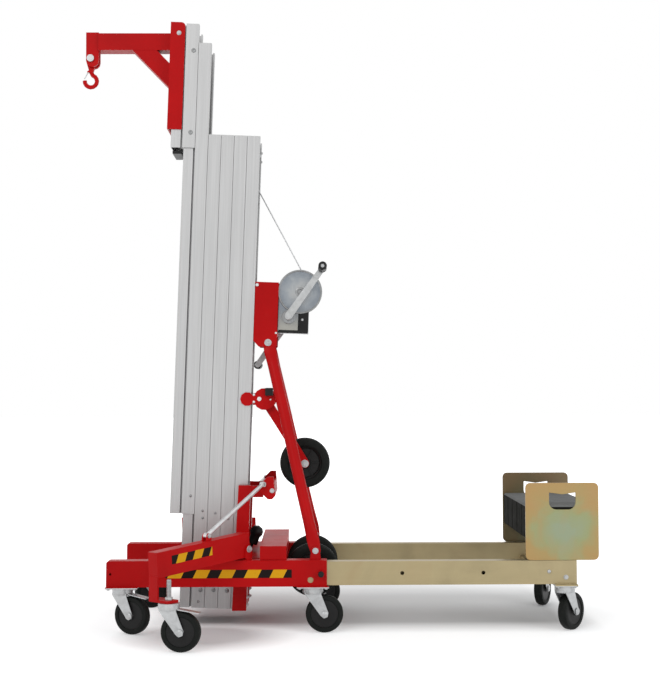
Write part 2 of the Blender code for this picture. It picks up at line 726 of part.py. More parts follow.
def build_lock_pins():
    """Pins drawn out of the extension's holes, their tips still in the red rails' walls."""
    tip = RAIL_Y + EXTENSION_WIDTH / 2 + FIT
    under_head = RAIL_Y + RAIL_WIDTH / 2 + FIT + LOCK_PIN_REACH
    end = under_head + LOCK_HEAD_LENGTH
    profile = [(0, tip), (LOCK_PIN_RADIUS, tip), (LOCK_PIN_RADIUS, under_head), (LOCK_HEAD_RADIUS, under_head),
               (LOCK_HEAD_RADIUS, end - LOCK_HEAD_LENGTH * 0.2), (LOCK_HEAD_RADIUS * 0.8, end), (0, end)]
    near = make_part("lock_pin_near", "black_plastic",
                     [turned([(radius, -y) for radius, y in profile], 12, LOCK_PIN_X, LOCK_PIN_Z)],
                     origin=(LOCK_PIN_X, -under_head, LOCK_PIN_Z))
    mirrored_part("lock_pin_far", near)


def build_counterweight():
    """Two plated end plates with hand holes, and the black stack between them."""
    front = WEIGHT_REAR_X - WEIGHT_LENGTH
    bottom = EXTENSION_TOP + FIT
    outline = rounded_rectangle((front, bottom), (WEIGHT_REAR_X, bottom + WEIGHT_HEIGHT), WEIGHT_CORNER)
    hole_left = front + HAND_HOLE_SIDE_MARGIN
    hole_right = hole_left + HAND_HOLE_WIDTH
    hole_top = bottom + WEIGHT_HEIGHT - HAND_HOLE_TOP_MARGIN
    hole_bottom = hole_top - HAND_HOLE_DEPTH
    corner = HAND_HOLE_CORNER
    hole = [(hole_right, hole_top), ((hole_left + hole_right) / 2, hole_top - HAND_HOLE_SAG),
            (hole_left, hole_top)]
    hole += arc((hole_left + corner, hole_bottom + corner), corner, 180, 270, 5)
    hole += arc((hole_right - corner, hole_bottom + corner), corner, 270, 360, 5)
    plate_outer = RAIL_Y + EXTENSION_WIDTH / 2 - WEIGHT_PLATE_SETBACK
    plate_inner = plate_outer - WEIGHT_PLATE
    near = make_part("weight_plate_near", "yellow_zinc",
                     [side_plate([outline, hole], -plate_outer, -plate_inner)])
    mirrored_part("weight_plate_far", near)
    stack_half = plate_inner - FIT
    slab = 2 * stack_half / STACK_SLABS
    slabs = []
    for i in range(STACK_SLABS):
        start = -stack_half + i * slab - (WELD if i else 0)
        end = -stack_half + (i + 1) * slab
        size = (WEIGHT_LENGTH - 2 * STACK_SIDE_INSET, end - start, STACK_HEIGHT)
        centre = (WEIGHT_REAR_X - WEIGHT_LENGTH / 2, (start + end) / 2,
                  bottom + STACK_RAISE + STACK_HEIGHT / 2)
        slabs.append(block(size, centre, rounding=STACK_ROUNDING / 2, segments=1))
    make_part("weight_stack", "black_iron", slabs)


def build_caster(name, x, y, turn, pedal=False, stem=False):
    """A swivel fork that trails its wheel, and the wheel. Both are built at the swivel axis."""
    axle_z = WHEEL_RADIUS * math.cos(math.pi / WHEEL_SIDES)
    crown_low = CASTER_TOP - FORK_CROWN_HEIGHT
    leg_outer = FORK_LEG_INNER + FORK_LEG
    leg = [(-FORK_TOP_HALF, crown_low + FORK_LEG), (-FORK_TOP_HALF, crown_low - FORK_LEG)]
    leg += arc((CASTER_TRAIL, axle_z), FORK_BOSS_RADIUS, 205, 380, 3)
    leg += [(FORK_TOP_HALF, crown_low - FORK_LEG), (FORK_TOP_HALF, crown_low + FORK_LEG)]
    solids = [
        block((2 * FORK_TOP_HALF, 2 * leg_outer - FIT, FORK_LEG),
              (0, 0, crown_low + FORK_LEG / 2)),
        bar((0, 0, crown_low + FORK_LEG / 2), (0, 0, CASTER_TOP), FORK_CROWN_RADIUS, 12),
    ]
    for side in (-1, 1):
        edges = sorted((side * FORK_LEG_INNER, side * leg_outer))
        solids.append(side_plate([leg], *edges))
    solids.append(cross_bar(CASTER_TRAIL, axle_z, -leg_outer - WELD, leg_outer + WELD, CASTER_AXLE_RADIUS, 8))
    for side in (-1, 1):
        head = sorted((side * (leg_outer - WELD), side * (leg_outer + AXLE_HEAD_LENGTH)))
        solids.append(cross_bar(CASTER_TRAIL, axle_z, *head, AXLE_HEAD_RADIUS, 8))
    if pedal:
        slope = shift(FORK_TOP_HALF * 0.7, 0, crown_low + FORK_LEG / 2) @ Matrix.Rotation(PEDAL_SLOPE, 4, "Y")
        solids.append(block((PEDAL_LENGTH, PEDAL_WIDTH, PEDAL_THICKNESS), (PEDAL_LENGTH / 2, 0, 0), slope))
    if stem:
        solids.append(bar((0, 0, crown_low + FORK_LEG), (0, 0, STEM_TOP_Z), STEM_RADIUS))
        nut_z = CASTER_HEIGHT - CASTER_PLATE + FOOT_PLATE + FIT
        solids.append(bar((0, 0, nut_z), (0, 0, nut_z + STEM_NUT), STEM_NUT_RADIUS, 6))
    fork = make_part(f"caster_fork_{name}", "zinc", solids)
    bore = CASTER_AXLE_RADIUS + FIT
    profile = [(bore, -WHEEL_HUB_HALF), (WHEEL_HUB_RADIUS, -WHEEL_HUB_HALF),
               (WHEEL_RADIUS * 0.85, -WHEEL_TYRE_HALF), (WHEEL_RADIUS, -WHEEL_TYRE_HALF * 0.75)]
    profile += [(radius, -half) for radius, half in reversed(profile)]
    wheel = make_part(f"caster_wheel_{name}", "black_rubber",
                      [turned(profile, WHEEL_SIDES, turn=math.pi / WHEEL_SIDES)])
    place = shift(x, y, 0) @ Matrix.Rotation(turn, 4, "Z")
    fork.matrix_world = place
    wheel.matrix_world = place @ shift(CASTER_TRAIL, 0, axle_z)


def build_casters():
    """Eight casters: two in front, two in the middle, two at the rear, one on each outrigger."""
    front_x = RAIL_FRONT_X + FRONT_CASTER_SETBACK
    middle_x = RAIL_REAR_X - MIDDLE_CASTER_SETBACK
    rear_x = EXTENSION_REAR_X - REAR_CASTER_SETBACK
    build_caster("front_near", front_x, -RAIL_Y, FRONT_CASTER_TURN, pedal=True)
    build_caster("front_far", front_x, RAIL_Y, -FRONT_CASTER_TURN, pedal=True)
    build_caster("middle_near", middle_x, -RAIL_Y, 0)
    build_caster("middle_far", middle_x, RAIL_Y, 0)
    build_caster("rear_near", rear_x, -RAIL_Y, NEAR_REAR_CASTER_TURN)
    build_caster("rear_far", rear_x, RAIL_Y, FAR_REAR_CASTER_TURN)
    swivel = outrigger_frame(-1) @ Vector((OUTRIGGER_REACH - SWIVEL_INWARD, SWIVEL_ASIDE, 0))
    build_caster("outrigger_near", swivel.x, swivel.y, OUTRIGGER_CASTER_TURN, pedal=True, stem=True)
    build_caster("outrigger_far", swivel.x, -swivel.y, -OUTRIGGER_CASTER_TURN, pedal=True, stem=True)


def build_mast_mount():
    """Cross member on the rails, floor plate, mast posts, brace block and foot tie in one weldment."""
    cross_rear_x = CROSS_FRONT_X + CROSS_LENGTH
    cross_bottom = RAIL_TOP + FIT
    post_inner = STAGE_HALF_WIDTH + FIT
    post_outer = post_inner + POST_THICKNESS
    post_top = MAST_FOOT_Z + POST_HEIGHT
    post = [(POST_BOTTOM_FRONT_X, MAST_FOOT_Z), (POST_BOTTOM_REAR_X, MAST_FOOT_Z),
            (POST_TOP_REAR_X, post_top), (POST_TOP_FRONT_X, post_top)]
    block_rear_x = BLOCK_FRONT_X + BLOCK_LENGTH
    block_top = BLOCK_BOTTOM_Z + BLOCK_HEIGHT
    brace = [(BLOCK_FRONT_X, BLOCK_BOTTOM_Z + BLOCK_CHAMFER), (BLOCK_FRONT_X + BLOCK_CHAMFER, BLOCK_BOTTOM_Z),
             (block_rear_x - BLOCK_CHAMFER / 2, BLOCK_BOTTOM_Z),
             (block_rear_x, BLOCK_BOTTOM_Z + BLOCK_CHAMFER / 2), (block_rear_x - BLOCK_CHAMFER / 4, block_top),
             (BLOCK_FRONT_X + BLOCK_CHAMFER, block_top), (BLOCK_FRONT_X, block_top - BLOCK_CHAMFER)]
    solids = [
        box_between((CROSS_FRONT_X, -CROSS_HALF_WIDTH, cross_bottom),
                    (cross_rear_x, CROSS_HALF_WIDTH, cross_bottom + CROSS_HEIGHT)),
        box_between((FLOOR_FRONT_X, -RAIL_INNER_Y + FLOOR_SIDE_GAP, cross_bottom + WELD - FLOOR_PLATE),
                    (cross_rear_x - WELD, RAIL_INNER_Y - FLOOR_SIDE_GAP, cross_bottom + WELD)),
        side_plate([brace], -BLOCK_HALF_WIDTH, BLOCK_HALF_WIDTH),
    ]
    arm_z = post_top - BLOCK_ARM_HEIGHT
    for side in (-1, 1):
        solids.append(side_plate([post], *sorted((side * post_inner, side * post_outer))))
        arm_y = sorted((side * (post_outer - BLOCK_ARM_THICKNESS - WELD), side * (post_outer - WELD)))
        solids.append(box_between((POST_TOP_REAR_X - BLOCK_ARM_THICKNESS, arm_y[0], arm_z),
                                  (BLOCK_FRONT_X + BLOCK_ARM_THICKNESS, arm_y[1], post_top - WELD)))
    tie_front = POST_BOTTOM_REAR_X - WELD
    solids.append(box_between((tie_front - FOOT_TIE_THICKNESS, -post_outer + WELD, MAST_FOOT_Z + WELD),
                              (tie_front, post_outer - WELD, MAST_FOOT_Z + FOOT_TIE_HEIGHT)))
    anchor_front = MAST_FOOT_X - BODY_DEPTH + STAGE_WALL + SLIDE_PLAY * 4
    solids.append(box_between((anchor_front, -ROPE_ANCHOR_HALF, MAST_FOOT_Z + 2 * WELD),
                              (tie_front - WELD, ROPE_ANCHOR_HALF,
                               MAST_FOOT_Z + 2 * WELD + ROPE_ANCHOR_THICKNESS)))
    bore = box_between((CROSS_FRONT_X + RAIL_WALL, -CROSS_HALF_WIDTH - WELD, cross_bottom + RAIL_WALL),
                       (cross_rear_x - RAIL_WALL, CROSS_HALF_WIDTH + WELD,
                        cross_bottom + CROSS_HEIGHT - RAIL_WALL))
    mast_slot = box_between((FLOOR_FRONT_X - WELD, -STAGE_HALF_WIDTH - FIT, cross_bottom - 2 * FLOOR_PLATE),
                            (MAST_FOOT_X + 0.010, STAGE_HALF_WIDTH + FIT, cross_bottom + 2 * WELD))
    block_bore = box_between(
        (BLOCK_FRONT_X + BLOCK_WALL, -BLOCK_HALF_WIDTH + BLOCK_WALL, BLOCK_BOTTOM_Z - WELD),
        (block_rear_x - BLOCK_WALL - BLOCK_CHAMFER / 4, BLOCK_HALF_WIDTH - BLOCK_WALL,
         block_top - BLOCK_TOP_RECESS - BLOCK_WALL))
    block_recess = box_between(
        (BLOCK_FRONT_X - WELD, -BLOCK_HALF_WIDTH + 2 * BLOCK_WALL, block_top - BLOCK_TOP_RECESS),
        (block_rear_x + WELD, BLOCK_HALF_WIDTH - 2 * BLOCK_WALL, block_top + WELD))
    knob = knob_frame()
    stem_hole = bar((0, 0, -2 * FLOOR_PLATE), (0, 0, 2 * FLOOR_PLATE), LOCK_KNOB_STEM_RADIUS + FIT, 12, knob)
    make_part("mast_mount", "red_paint", solids, [bore, mast_slot, block_bore, block_recess, stem_hole])


def knob_frame():
    """Frame of the mast lock's knob, on the floor plate's upper face, z along its stem."""
    return shift(LOCK_KNOB_X, 0, RAIL_TOP + FIT + WELD) @ Matrix.Rotation(LOCK_KNOB_TILT, 4, "Y")


def build_transport_wheels():
    """Fixed axle between the rails with two wheels held by collars."""
    half = RAIL_INNER_Y - FIT
    solids = [cross_bar(TRANSPORT_X, TRANSPORT_Z, -half, half, TRANSPORT_AXLE_RADIUS)]
    hub_low = TRANSPORT_Y - TRANSPORT_HUB_HALF - SLIDE_PLAY
    hub_high = TRANSPORT_Y + TRANSPORT_HUB_HALF + SLIDE_PLAY
    for side in (-1, 1):
        for start, end in ((hub_low - TRANSPORT_COLLAR, hub_low), (hub_high, hub_high + TRANSPORT_COLLAR)):
            edges = sorted((side * start, side * end))
            solids.append(cross_bar(TRANSPORT_X, TRANSPORT_Z, *edges, TRANSPORT_COLLAR_RADIUS))
    make_part("rear_axle", "zinc", solids)
    bore = TRANSPORT_AXLE_RADIUS + FIT
    for side, name in ((-1, "rear_wheel_near"), (1, "rear_wheel_far")):
        make_part(name, "black_rubber",
                  [large_wheel(TRANSPORT_RADIUS, bore, TRANSPORT_HUB_HALF, TRANSPORT_TYRE_HALF,
                               TRANSPORT_SIDES, TRANSPORT_X, side * TRANSPORT_Y, TRANSPORT_Z)],
                  origin=(TRANSPORT_X, side * TRANSPORT_Y, TRANSPORT_Z))


def large_wheel(radius, bore, hub_half, tyre_half, sides, x, y, z):
    """Wheel with a dished web between its hub and its tyre."""
    web = tyre_half * 0.35
    profile = [(bore, -hub_half), (bore + 0.013, -hub_half), (bore + 0.014, -web), (radius * 0.62, -web),
               (radius * 0.68, -tyre_half), (radius, -tyre_half * 0.75)]
    profile += [(at, -half) for at, half in reversed(profile)]
    return turned([(at, half + y) for at, half in profile], sides, x, z)


def stage_section():
    """Outline of a mast stage and of the hollow in its rail, rear edge at x = 0."""
    wall_inner = STAGE_HALF_WIDTH - STAGE_WALL
    lip_inner = wall_inner + STAGE_WALL - LIP_REACH - STAGE_WALL
    neck = -BODY_DEPTH - NECK_DEPTH
    face = -BODY_DEPTH - RAIL_SECTION_DEPTH
    half = [(0, lip_inner), (0, STAGE_HALF_WIDTH), (-BODY_DEPTH, STAGE_HALF_WIDTH),
            (-BODY_DEPTH, NECK_HALF_WIDTH), (neck, NECK_HALF_WIDTH), (neck, FLANGE_HALF_WIDTH),
            (face, FLANGE_HALF_WIDTH)]
    inside = [(-LIP_THICKNESS, lip_inner), (-LIP_THICKNESS, wall_inner), (-BODY_DEPTH + STAGE_WALL, wall_inner)]
    outer = half + [(x, -y) for x, y in reversed(half)]
    outer += [(x, -y) for x, y in inside] + list(reversed(inside))
    thin = RAIL_SECTION_WALL
    hollow_half = [(-BODY_DEPTH, NECK_HALF_WIDTH - thin), (neck - thin, NECK_HALF_WIDTH - thin),
                   (neck - thin, FLANGE_HALF_WIDTH - thin), (face + thin, FLANGE_HALF_WIDTH - thin)]
    hollow = hollow_half + [(x, -y) for x, y in reversed(hollow_half)]
    return [outer, hollow]


def extrusion(length, back, height):
    """A length of the mast section, its rear edge moved back along x and raised along the mast."""
    return plate(stage_section(), length, MAST @ shift(back, 0, height + length / 2))


def build_mast():
    """Five nested stages, the front one raised, and the carriage on the front stage."""
    for i in range(STAGE_COUNT):
        raised = FRONT_STAGE_RAISE if i == STAGE_COUNT - 1 else 0.0
        make_part(f"mast_stage_{i + 1}", "aluminium", [extrusion(STAGE_LENGTH, -i * STAGE_PITCH, raised)])
    make_part("carriage", "aluminium",
              [extrusion(CARRIAGE_LENGTH, -STAGE_COUNT * STAGE_PITCH, CARRIAGE_HEIGHT)])


def boom_post_front_x(z):
    """World x of the boom post's front face at a height."""
    back = -STAGE_COUNT * STAGE_PITCH - BODY_DEPTH - WELD * 4 - BOOM_POST_DEPTH
    foot = MAST @ Vector((back, 0, 0))
    return foot.x + (z - foot.z) * math.tan(MAST_LEAN)


def build_boom():
    """Channel over the carriage's rail, boom tube, diagonal brace and end clevis."""
    rear = -STAGE_COUNT * STAGE_PITCH - BODY_DEPTH - WELD * 4
    front = rear - BOOM_POST_DEPTH
    inner = FLANGE_HALF_WIDTH + FIT
    outer = inner + BOOM_POST_FLANGE
    top = BOOM_POST_HEIGHT + BOOM_POST_LENGTH
    flange = [(front, BOOM_POST_HEIGHT), (rear, BOOM_POST_HEIGHT)]
    flange += arc((rear - BOOM_POST_CORNER, top - BOOM_POST_CORNER), BOOM_POST_CORNER, 0, 90, 4)
    flange += [(front, top)]
    solids = [box_between((front, -outer, BOOM_POST_HEIGHT), (front + BOOM_POST_WEB, outer, top), MAST)]
    for side in (-1, 1):
        solids.append(side_plate([flange], *sorted((side * inner, side * outer)), frame=MAST))
    boom_top = BOOM_BOTTOM_Z + BOOM_HEIGHT
    boom_rear = boom_post_front_x(BOOM_BOTTOM_Z) + BOOM_POST_WEB / 2
    solids.append(box_between((BOOM_FRONT_X, -BOOM_HALF_WIDTH, BOOM_BOTTOM_Z),
                              (boom_rear, BOOM_HALF_WIDTH, boom_top)))
    brace = [(BRACE_BOOM_FRONT_X, BOOM_BOTTOM_Z + WELD),
             (boom_post_front_x(BRACE_POST_BOTTOM_Z) + BOOM_POST_WEB / 2, BRACE_POST_BOTTOM_Z),
             (boom_post_front_x(BRACE_POST_TOP_Z) + BOOM_POST_WEB / 2, BRACE_POST_TOP_Z),
             (BRACE_BOOM_REAR_X, BOOM_BOTTOM_Z + WELD)]
    brace_half = BOOM_HALF_WIDTH - WELD
    solids.append(side_plate([brace], -brace_half, brace_half))
    clevis_front = BOOM_FRONT_X - CLEVIS_LENGTH + WELD
    clevis_rear = BOOM_FRONT_X + WELD
    radius = CLEVIS_LENGTH / 2
    clevis = [(clevis_rear, boom_top + CLEVIS_RISE), (clevis_front, boom_top + CLEVIS_RISE)]
    clevis += arc(((clevis_front + clevis_rear) / 2, BOOM_BOTTOM_Z - CLEVIS_DROP), radius, 180, 360, 6)
    solids.append(side_plate([clevis], -CLEVIS_HALF_WIDTH, CLEVIS_HALF_WIDTH))
    slot = box_between((clevis_front - WELD, -CLEVIS_SLOT_HALF, BOOM_BOTTOM_Z - CLEVIS_DROP - 2 * radius),
                       (clevis_rear + WELD, CLEVIS_SLOT_HALF, CLEVIS_SLOT_TOP_Z))
    pin_hole = cross_bar(HOOK_PIN_X, HOOK_PIN_Z, -2 * CLEVIS_HALF_WIDTH, 2 * CLEVIS_HALF_WIDTH,
                         HOOK_PIN_RADIUS + FIT)
    wall = BOOM_WALL
    through_web = 2 * BOOM_POST_WEB
    boom_bore = box_between((BOOM_FRONT_X + 2 * wall, -BOOM_HALF_WIDTH + wall, BOOM_BOTTOM_Z + wall),
                            (boom_rear + through_web, BOOM_HALF_WIDTH - wall, boom_top - wall))
    brace_bore = [
        (BRACE_BOOM_FRONT_X + 2 * wall, BOOM_BOTTOM_Z + 2 * wall),
        (boom_post_front_x(BRACE_POST_BOTTOM_Z) + through_web, BRACE_POST_BOTTOM_Z + wall),
        (boom_post_front_x(BRACE_POST_TOP_Z) + through_web, BRACE_POST_TOP_Z - 2 * wall),
        (BRACE_BOOM_REAR_X - 2 * wall, BOOM_BOTTOM_Z + 2 * wall),
    ]
    brace_bore = side_plate([brace_bore], -brace_half + wall, brace_half - wall)
    make_part("boom_frame", "red_paint", solids, [slot, pin_hole, boom_bore, brace_bore])


def build_hook():
    """Pin across the clevis, hook hanging on it, and the spring latch across the hook's mouth."""
    shank = CLEVIS_HALF_WIDTH + FIT
    make_part("hook_pin", "zinc", [
        cross_bar(HOOK_PIN_X, HOOK_PIN_Z, -shank - WELD, shank + WELD, HOOK_PIN_RADIUS),
        cross_bar(HOOK_PIN_X, HOOK_PIN_Z, -shank - HOOK_PIN_HEAD, -shank, HOOK_PIN_HEAD_RADIUS, 16),
        cross_bar(HOOK_PIN_X, HOOK_PIN_Z, shank, shank + HOOK_PIN_HEAD, HOOK_PIN_HEAD_RADIUS, 6),
    ], origin=(HOOK_PIN_X, 0, HOOK_PIN_Z))
    neck_z = HOOK_PIN_Z - HOOK_NECK_LENGTH
    eye = strap((HOOK_PIN_X, HOOK_PIN_Z), (HOOK_PIN_X, neck_z), HOOK_EYE_RADIUS, HOOK_NECK_RADIUS)
    route = [(HOOK_PIN_X, 0, neck_z + WELD), (HOOK_PIN_X, 0, neck_z - HOOK_BAR_RADIUS)]
    for x, z in arc((HOOK_BOWL_X, HOOK_BOWL_Z), HOOK_BOWL_RADIUS, 70, -185, 11):
        route.append((x, 0, z))
    solids = [round_bar(route, HOOK_BAR_RADIUS), side_plate([eye], -HOOK_PLATE_HALF, HOOK_PLATE_HALF)]
    ear = strap(LATCH_TOP, (HOOK_PIN_X, LATCH_TOP[1] + LATCH_EYE_RADIUS * 2), LATCH_EYE_RADIUS,
                LATCH_EYE_RADIUS, 4)
    ear_inner = LATCH_WIDTH / 2 + FIT
    ear_outer = ear_inner + LATCH_EAR
    for hand in (-1, 1):
        solids.append(side_plate([ear], *sorted((hand * ear_inner, hand * ear_outer))))
    solids.append(cross_bar(*LATCH_TOP, -ear_outer + FIT, ear_outer - FIT, LATCH_PIN_RADIUS, 8))
    bore = cross_bar(HOOK_PIN_X, HOOK_PIN_Z, -shank, shank, HOOK_PIN_RADIUS + FIT)
    make_part("load_hook", "red_paint", solids, [bore], origin=(HOOK_PIN_X, 0, HOOK_PIN_Z))
    half = LATCH_THICKNESS / 2
    edge = LATCH_WIDTH / 2
    make_part("hook_latch", "zinc",
              [side_plate([strap(LATCH_TOP, LATCH_TIP, half, half, 3)], -edge + WELD / 2, edge - WELD / 2),
               cross_bar(*LATCH_TOP, -edge, edge, LATCH_EYE_RADIUS, 12)],
              [cross_bar(*LATCH_TOP, -ear_outer, ear_outer, LATCH_PIN_RADIUS + FIT, 8)],
              origin=(LATCH_TOP[0], 0, LATCH_TOP[1]))


def build_winch_bracket():
    """Red channel on the mast's rear. Its side plates carry the pins of the struts' top ends."""
    low = BRACKET_BOTTOM
    high = low + BRACKET_HEIGHT
    side = [(FIT, low + BRACKET_CHAMFER), (BRACKET_CHAMFER, low), (BRACKET_DEPTH - BRACKET_WALL, low),
            (BRACKET_DEPTH, low + BRACKET_WALL), (BRACKET_DEPTH, high), (FIT, high)]
    solids = [box_between((BRACKET_DEPTH - BRACKET_WALL, -BRACKET_HALF_WIDTH + WELD, low + BRACKET_CHAMFER * 2),
                          (BRACKET_DEPTH - WELD / 2, BRACKET_HALF_WIDTH - WELD, high - WELD), MAST)]
    inner = BRACKET_HALF_WIDTH - BRACKET_WALL
    for hand in (-1, 1):
        solids.append(side_plate([side], *sorted((hand * inner, hand * BRACKET_HALF_WIDTH)), frame=MAST))
        pin = sorted((hand * (inner - FIT - STRUT_PLATE - WELD), hand * (BRACKET_HALF_WIDTH - WELD)))
        solids.append(cross_bar(STRUT_TOP_X, STRUT_TOP_Z, *pin, STRUT_PIN_RADIUS))
    make_part("winch_bracket", "red_paint", solids)


def build_winch():
    """Zinc frame, drum with its gear, cover, crank shaft with its pinion, two arms and two grips."""
    plate_outer = WINCH_HALF_WIDTH
    plate_inner = plate_outer - WINCH_PLATE
    front = BRACKET_DEPTH + FIT
    back_top = WINCH_BOTTOM + WINCH_BACK_HEIGHT
    lug = WINCH_DRUM_LUG_RADIUS
    side = [(front, WINCH_BOTTOM), (WINCH_REAR, WINCH_BOTTOM), (WINCH_REAR, WINCH_BOTTOM + WINCH_STEP_HEIGHT)]
    side += arc(DRUM_AXIS, lug, 0, 110, 6)
    side += [(front, back_top)]
    solids = [
        box_between((front, -plate_outer + WELD, WINCH_BOTTOM + WELD),
                    (front + WINCH_BACK_PLATE, plate_outer - WELD, back_top - WELD), MAST),
        box_between((front + WELD, -plate_outer + WELD, WINCH_BOTTOM),
                    (WINCH_REAR - WELD, plate_outer - WELD, WINCH_BOTTOM + WINCH_BACK_PLATE), MAST),
    ]
    for hand in (-1, 1):
        solids.append(side_plate([side], *sorted((hand * plate_inner, hand * plate_outer)), frame=MAST))
    reach = WINCH_HALF_WIDTH + WELD
    cuts = [cross_bar(*DRUM_AXIS, -reach, reach, DRUM_AXLE_RADIUS + SLIDE_PLAY, frame=MAST),
            cross_bar(*CRANK_AXIS, -reach, reach, CRANK_SHAFT_RADIUS + FIT, frame=MAST)]
    make_part("winch_frame", "zinc", solids, cuts)

    centre = MAST @ Vector((DRUM_AXIS[0], 0, DRUM_AXIS[1]))
    spacing = math.hypot(DRUM_AXIS[0] - CRANK_AXIS[0], DRUM_AXIS[1] - CRANK_AXIS[1])
    module = 2 * spacing / (GEAR_TEETH + PINION_TEETH)
    towards = math.degrees(math.atan2(CRANK_AXIS[1] - DRUM_AXIS[1], CRANK_AXIS[0] - DRUM_AXIS[0]))
    gear_outer = -plate_outer - GEAR_OUT - GEAR_WIDTH
    gear_inner = -plate_outer - GEAR_OUT
    flange = plate_inner - DRUM_SIDE_PLAY
    axle_end = plate_outer + DRUM_SIDE_PLAY
    profile = [(0, gear_outer - WELD), (DRUM_AXLE_RADIUS, gear_outer - WELD), (DRUM_AXLE_RADIUS, -flange),
               (DRUM_FLANGE_RADIUS, -flange), (DRUM_FLANGE_RADIUS, -flange + DRUM_FLANGE),
               (DRUM_BARREL_RADIUS, -flange + DRUM_FLANGE), (DRUM_BARREL_RADIUS, flange - DRUM_FLANGE),
               (DRUM_FLANGE_RADIUS, flange - DRUM_FLANGE), (DRUM_FLANGE_RADIUS, flange),
               (DRUM_AXLE_RADIUS, flange), (DRUM_AXLE_RADIUS, axle_end), (0, axle_end)]
    gear = gear_outline(DRUM_AXIS, GEAR_TEETH, module, towards + 180 / GEAR_TEETH)
    make_part("cable_drum", "zinc", [
        turned(profile, DRUM_SIDES, *DRUM_AXIS, frame=MAST),
        side_plate([gear], gear_outer, gear_inner, frame=MAST),
    ], origin=centre)

    cover_inner = gear_outer - COVER_GAP
    cover_outer = cover_inner - COVER_PLATE
    disc_top = math.degrees(math.acos((COVER_FRONT - DRUM_AXIS[0]) / COVER_RADIUS))
    disc_bottom = -math.degrees(math.acos((COVER_REAR - DRUM_AXIS[0]) / COVER_RADIUS))
    outline = [(COVER_FRONT, WINCH_BOTTOM + WINCH_BACK_PLATE), (COVER_REAR, WINCH_BOTTOM + WINCH_BACK_PLATE)]
    outline += arc(DRUM_AXIS, COVER_RADIUS, disc_bottom, disc_top, 20)
    rim = arc(DRUM_AXIS, COVER_RADIUS - WELD / 2, -60, 125, 14)
    rim += reversed(arc(DRUM_AXIS, COVER_RADIUS - COVER_RIM, -60, 125, 14))
    seat = -plate_outer - FIT
    solids = [
        side_plate([outline], cover_outer, cover_inner, frame=MAST),
        side_plate([rim], cover_inner - WELD, seat - COVER_GAP, frame=MAST),
        box_between((COVER_FRONT + WELD / 2, cover_inner - WELD, WINCH_BOTTOM + 2 * WINCH_BACK_PLATE),
                    (COVER_FRONT + COVER_RIM, seat, DRUM_AXIS[1]), MAST),
    ]
    hole = cross_bar(*CRANK_AXIS, cover_outer - WELD, cover_inner + WELD, CRANK_SHAFT_RADIUS + SLIDE_PLAY,
                     frame=MAST)
    make_part("gear_cover", "zinc", solids, [hole])

    arm_outer = CRANK_ARM_INNER + CRANK_ARM_THICKNESS
    shaft_end = arm_outer + FIT + CRANK_NUT
    pinion = gear_outline(CRANK_AXIS, PINION_TEETH, module, towards + 180)
    crank_centre = MAST @ Vector((CRANK_AXIS[0], 0, CRANK_AXIS[1]))
    solids = [cross_bar(*CRANK_AXIS, -shaft_end, shaft_end, CRANK_SHAFT_RADIUS, frame=MAST),
              side_plate([pinion], gear_outer, gear_inner, frame=MAST)]
    for hand in (-1, 1):
        nut = sorted((hand * (arm_outer + FIT), hand * (shaft_end - WELD)))
        solids.append(cross_bar(*CRANK_AXIS, *nut, CRANK_NUT_RADIUS, 6, MAST))
    make_part("crank_shaft", "zinc", solids, origin=crank_centre)
    build_crank("near", -1, CRANK_ANGLE, crank_centre)
    build_crank("far", 1, CRANK_ANGLE + math.pi, crank_centre)


def build_crank(name, hand, angle, centre):
    """Flat crank arm with its grip pin, and the grip that turns on the pin."""
    tip = (centre.x + CRANK_RADIUS * math.cos(angle), centre.z + CRANK_RADIUS * math.sin(angle))
    arm_outer = CRANK_ARM_INNER + CRANK_ARM_THICKNESS
    grip_start = arm_outer + FIT
    grip_end = grip_start + GRIP_LENGTH
    outline = strap((centre.x, centre.z), tip, CRANK_HUB_RADIUS, CRANK_TIP_RADIUS)
    solids = [
        side_plate([outline], *sorted((hand * CRANK_ARM_INNER, hand * arm_outer))),
        cross_bar(*tip, *sorted((hand * (arm_outer - WELD), hand * (grip_end + FIT + WELD))), GRIP_PIN_RADIUS),
        cross_bar(*tip, *sorted((hand * (grip_end + FIT), hand * (grip_end + FIT + GRIP_PIN_HEAD))),
                  GRIP_PIN_HEAD_RADIUS),
    ]
    hole = cross_bar(centre.x, centre.z, *sorted((hand * (CRANK_ARM_INNER - WELD), hand * (arm_outer + WELD))),
                     CRANK_SHAFT_RADIUS + FIT)
    make_part(f"crank_arm_{name}", "zinc", solids, [hole], origin=centre)
    bore = GRIP_PIN_RADIUS + FIT
    profile = [(bore, grip_start), (GRIP_RADIUS, grip_start), (GRIP_RADIUS, grip_start + GRIP_LENGTH * 0.1),
               (GRIP_WAIST_RADIUS, grip_start + GRIP_LENGTH * 0.3),
               (GRIP_RADIUS, grip_start + GRIP_LENGTH * 0.8),
               (GRIP_WAIST_RADIUS, grip_end), (bore, grip_end)]
    make_part(f"crank_grip_{name}", "black_plastic",
              [turned([(radius, hand * y) for radius, y in profile], 12, *tip)],
              origin=(tip[0], hand * (grip_start + grip_end) / 2, tip[1]))


def gear_outline(centre, teeth, module, first_tooth):
    """Spur gear with straight-sided teeth, the first one centred on an angle in degrees."""
    pitch_radius = module * teeth / 2
    tip = pitch_radius + module * 0.85
    root = pitch_radius - module * 1.15
    step = 360 / teeth
    outline = []
    for i in range(teeth):
        middle = first_tooth + i * step
        for radius, share in ((root, -0.30), (tip, -0.11), (tip, 0.11), (root, 0.30)):
            angle = math.radians(middle + share * step)
            outline.append((centre[0] + radius * math.cos(angle), centre[1] + radius * math.sin(angle)))
    return outline


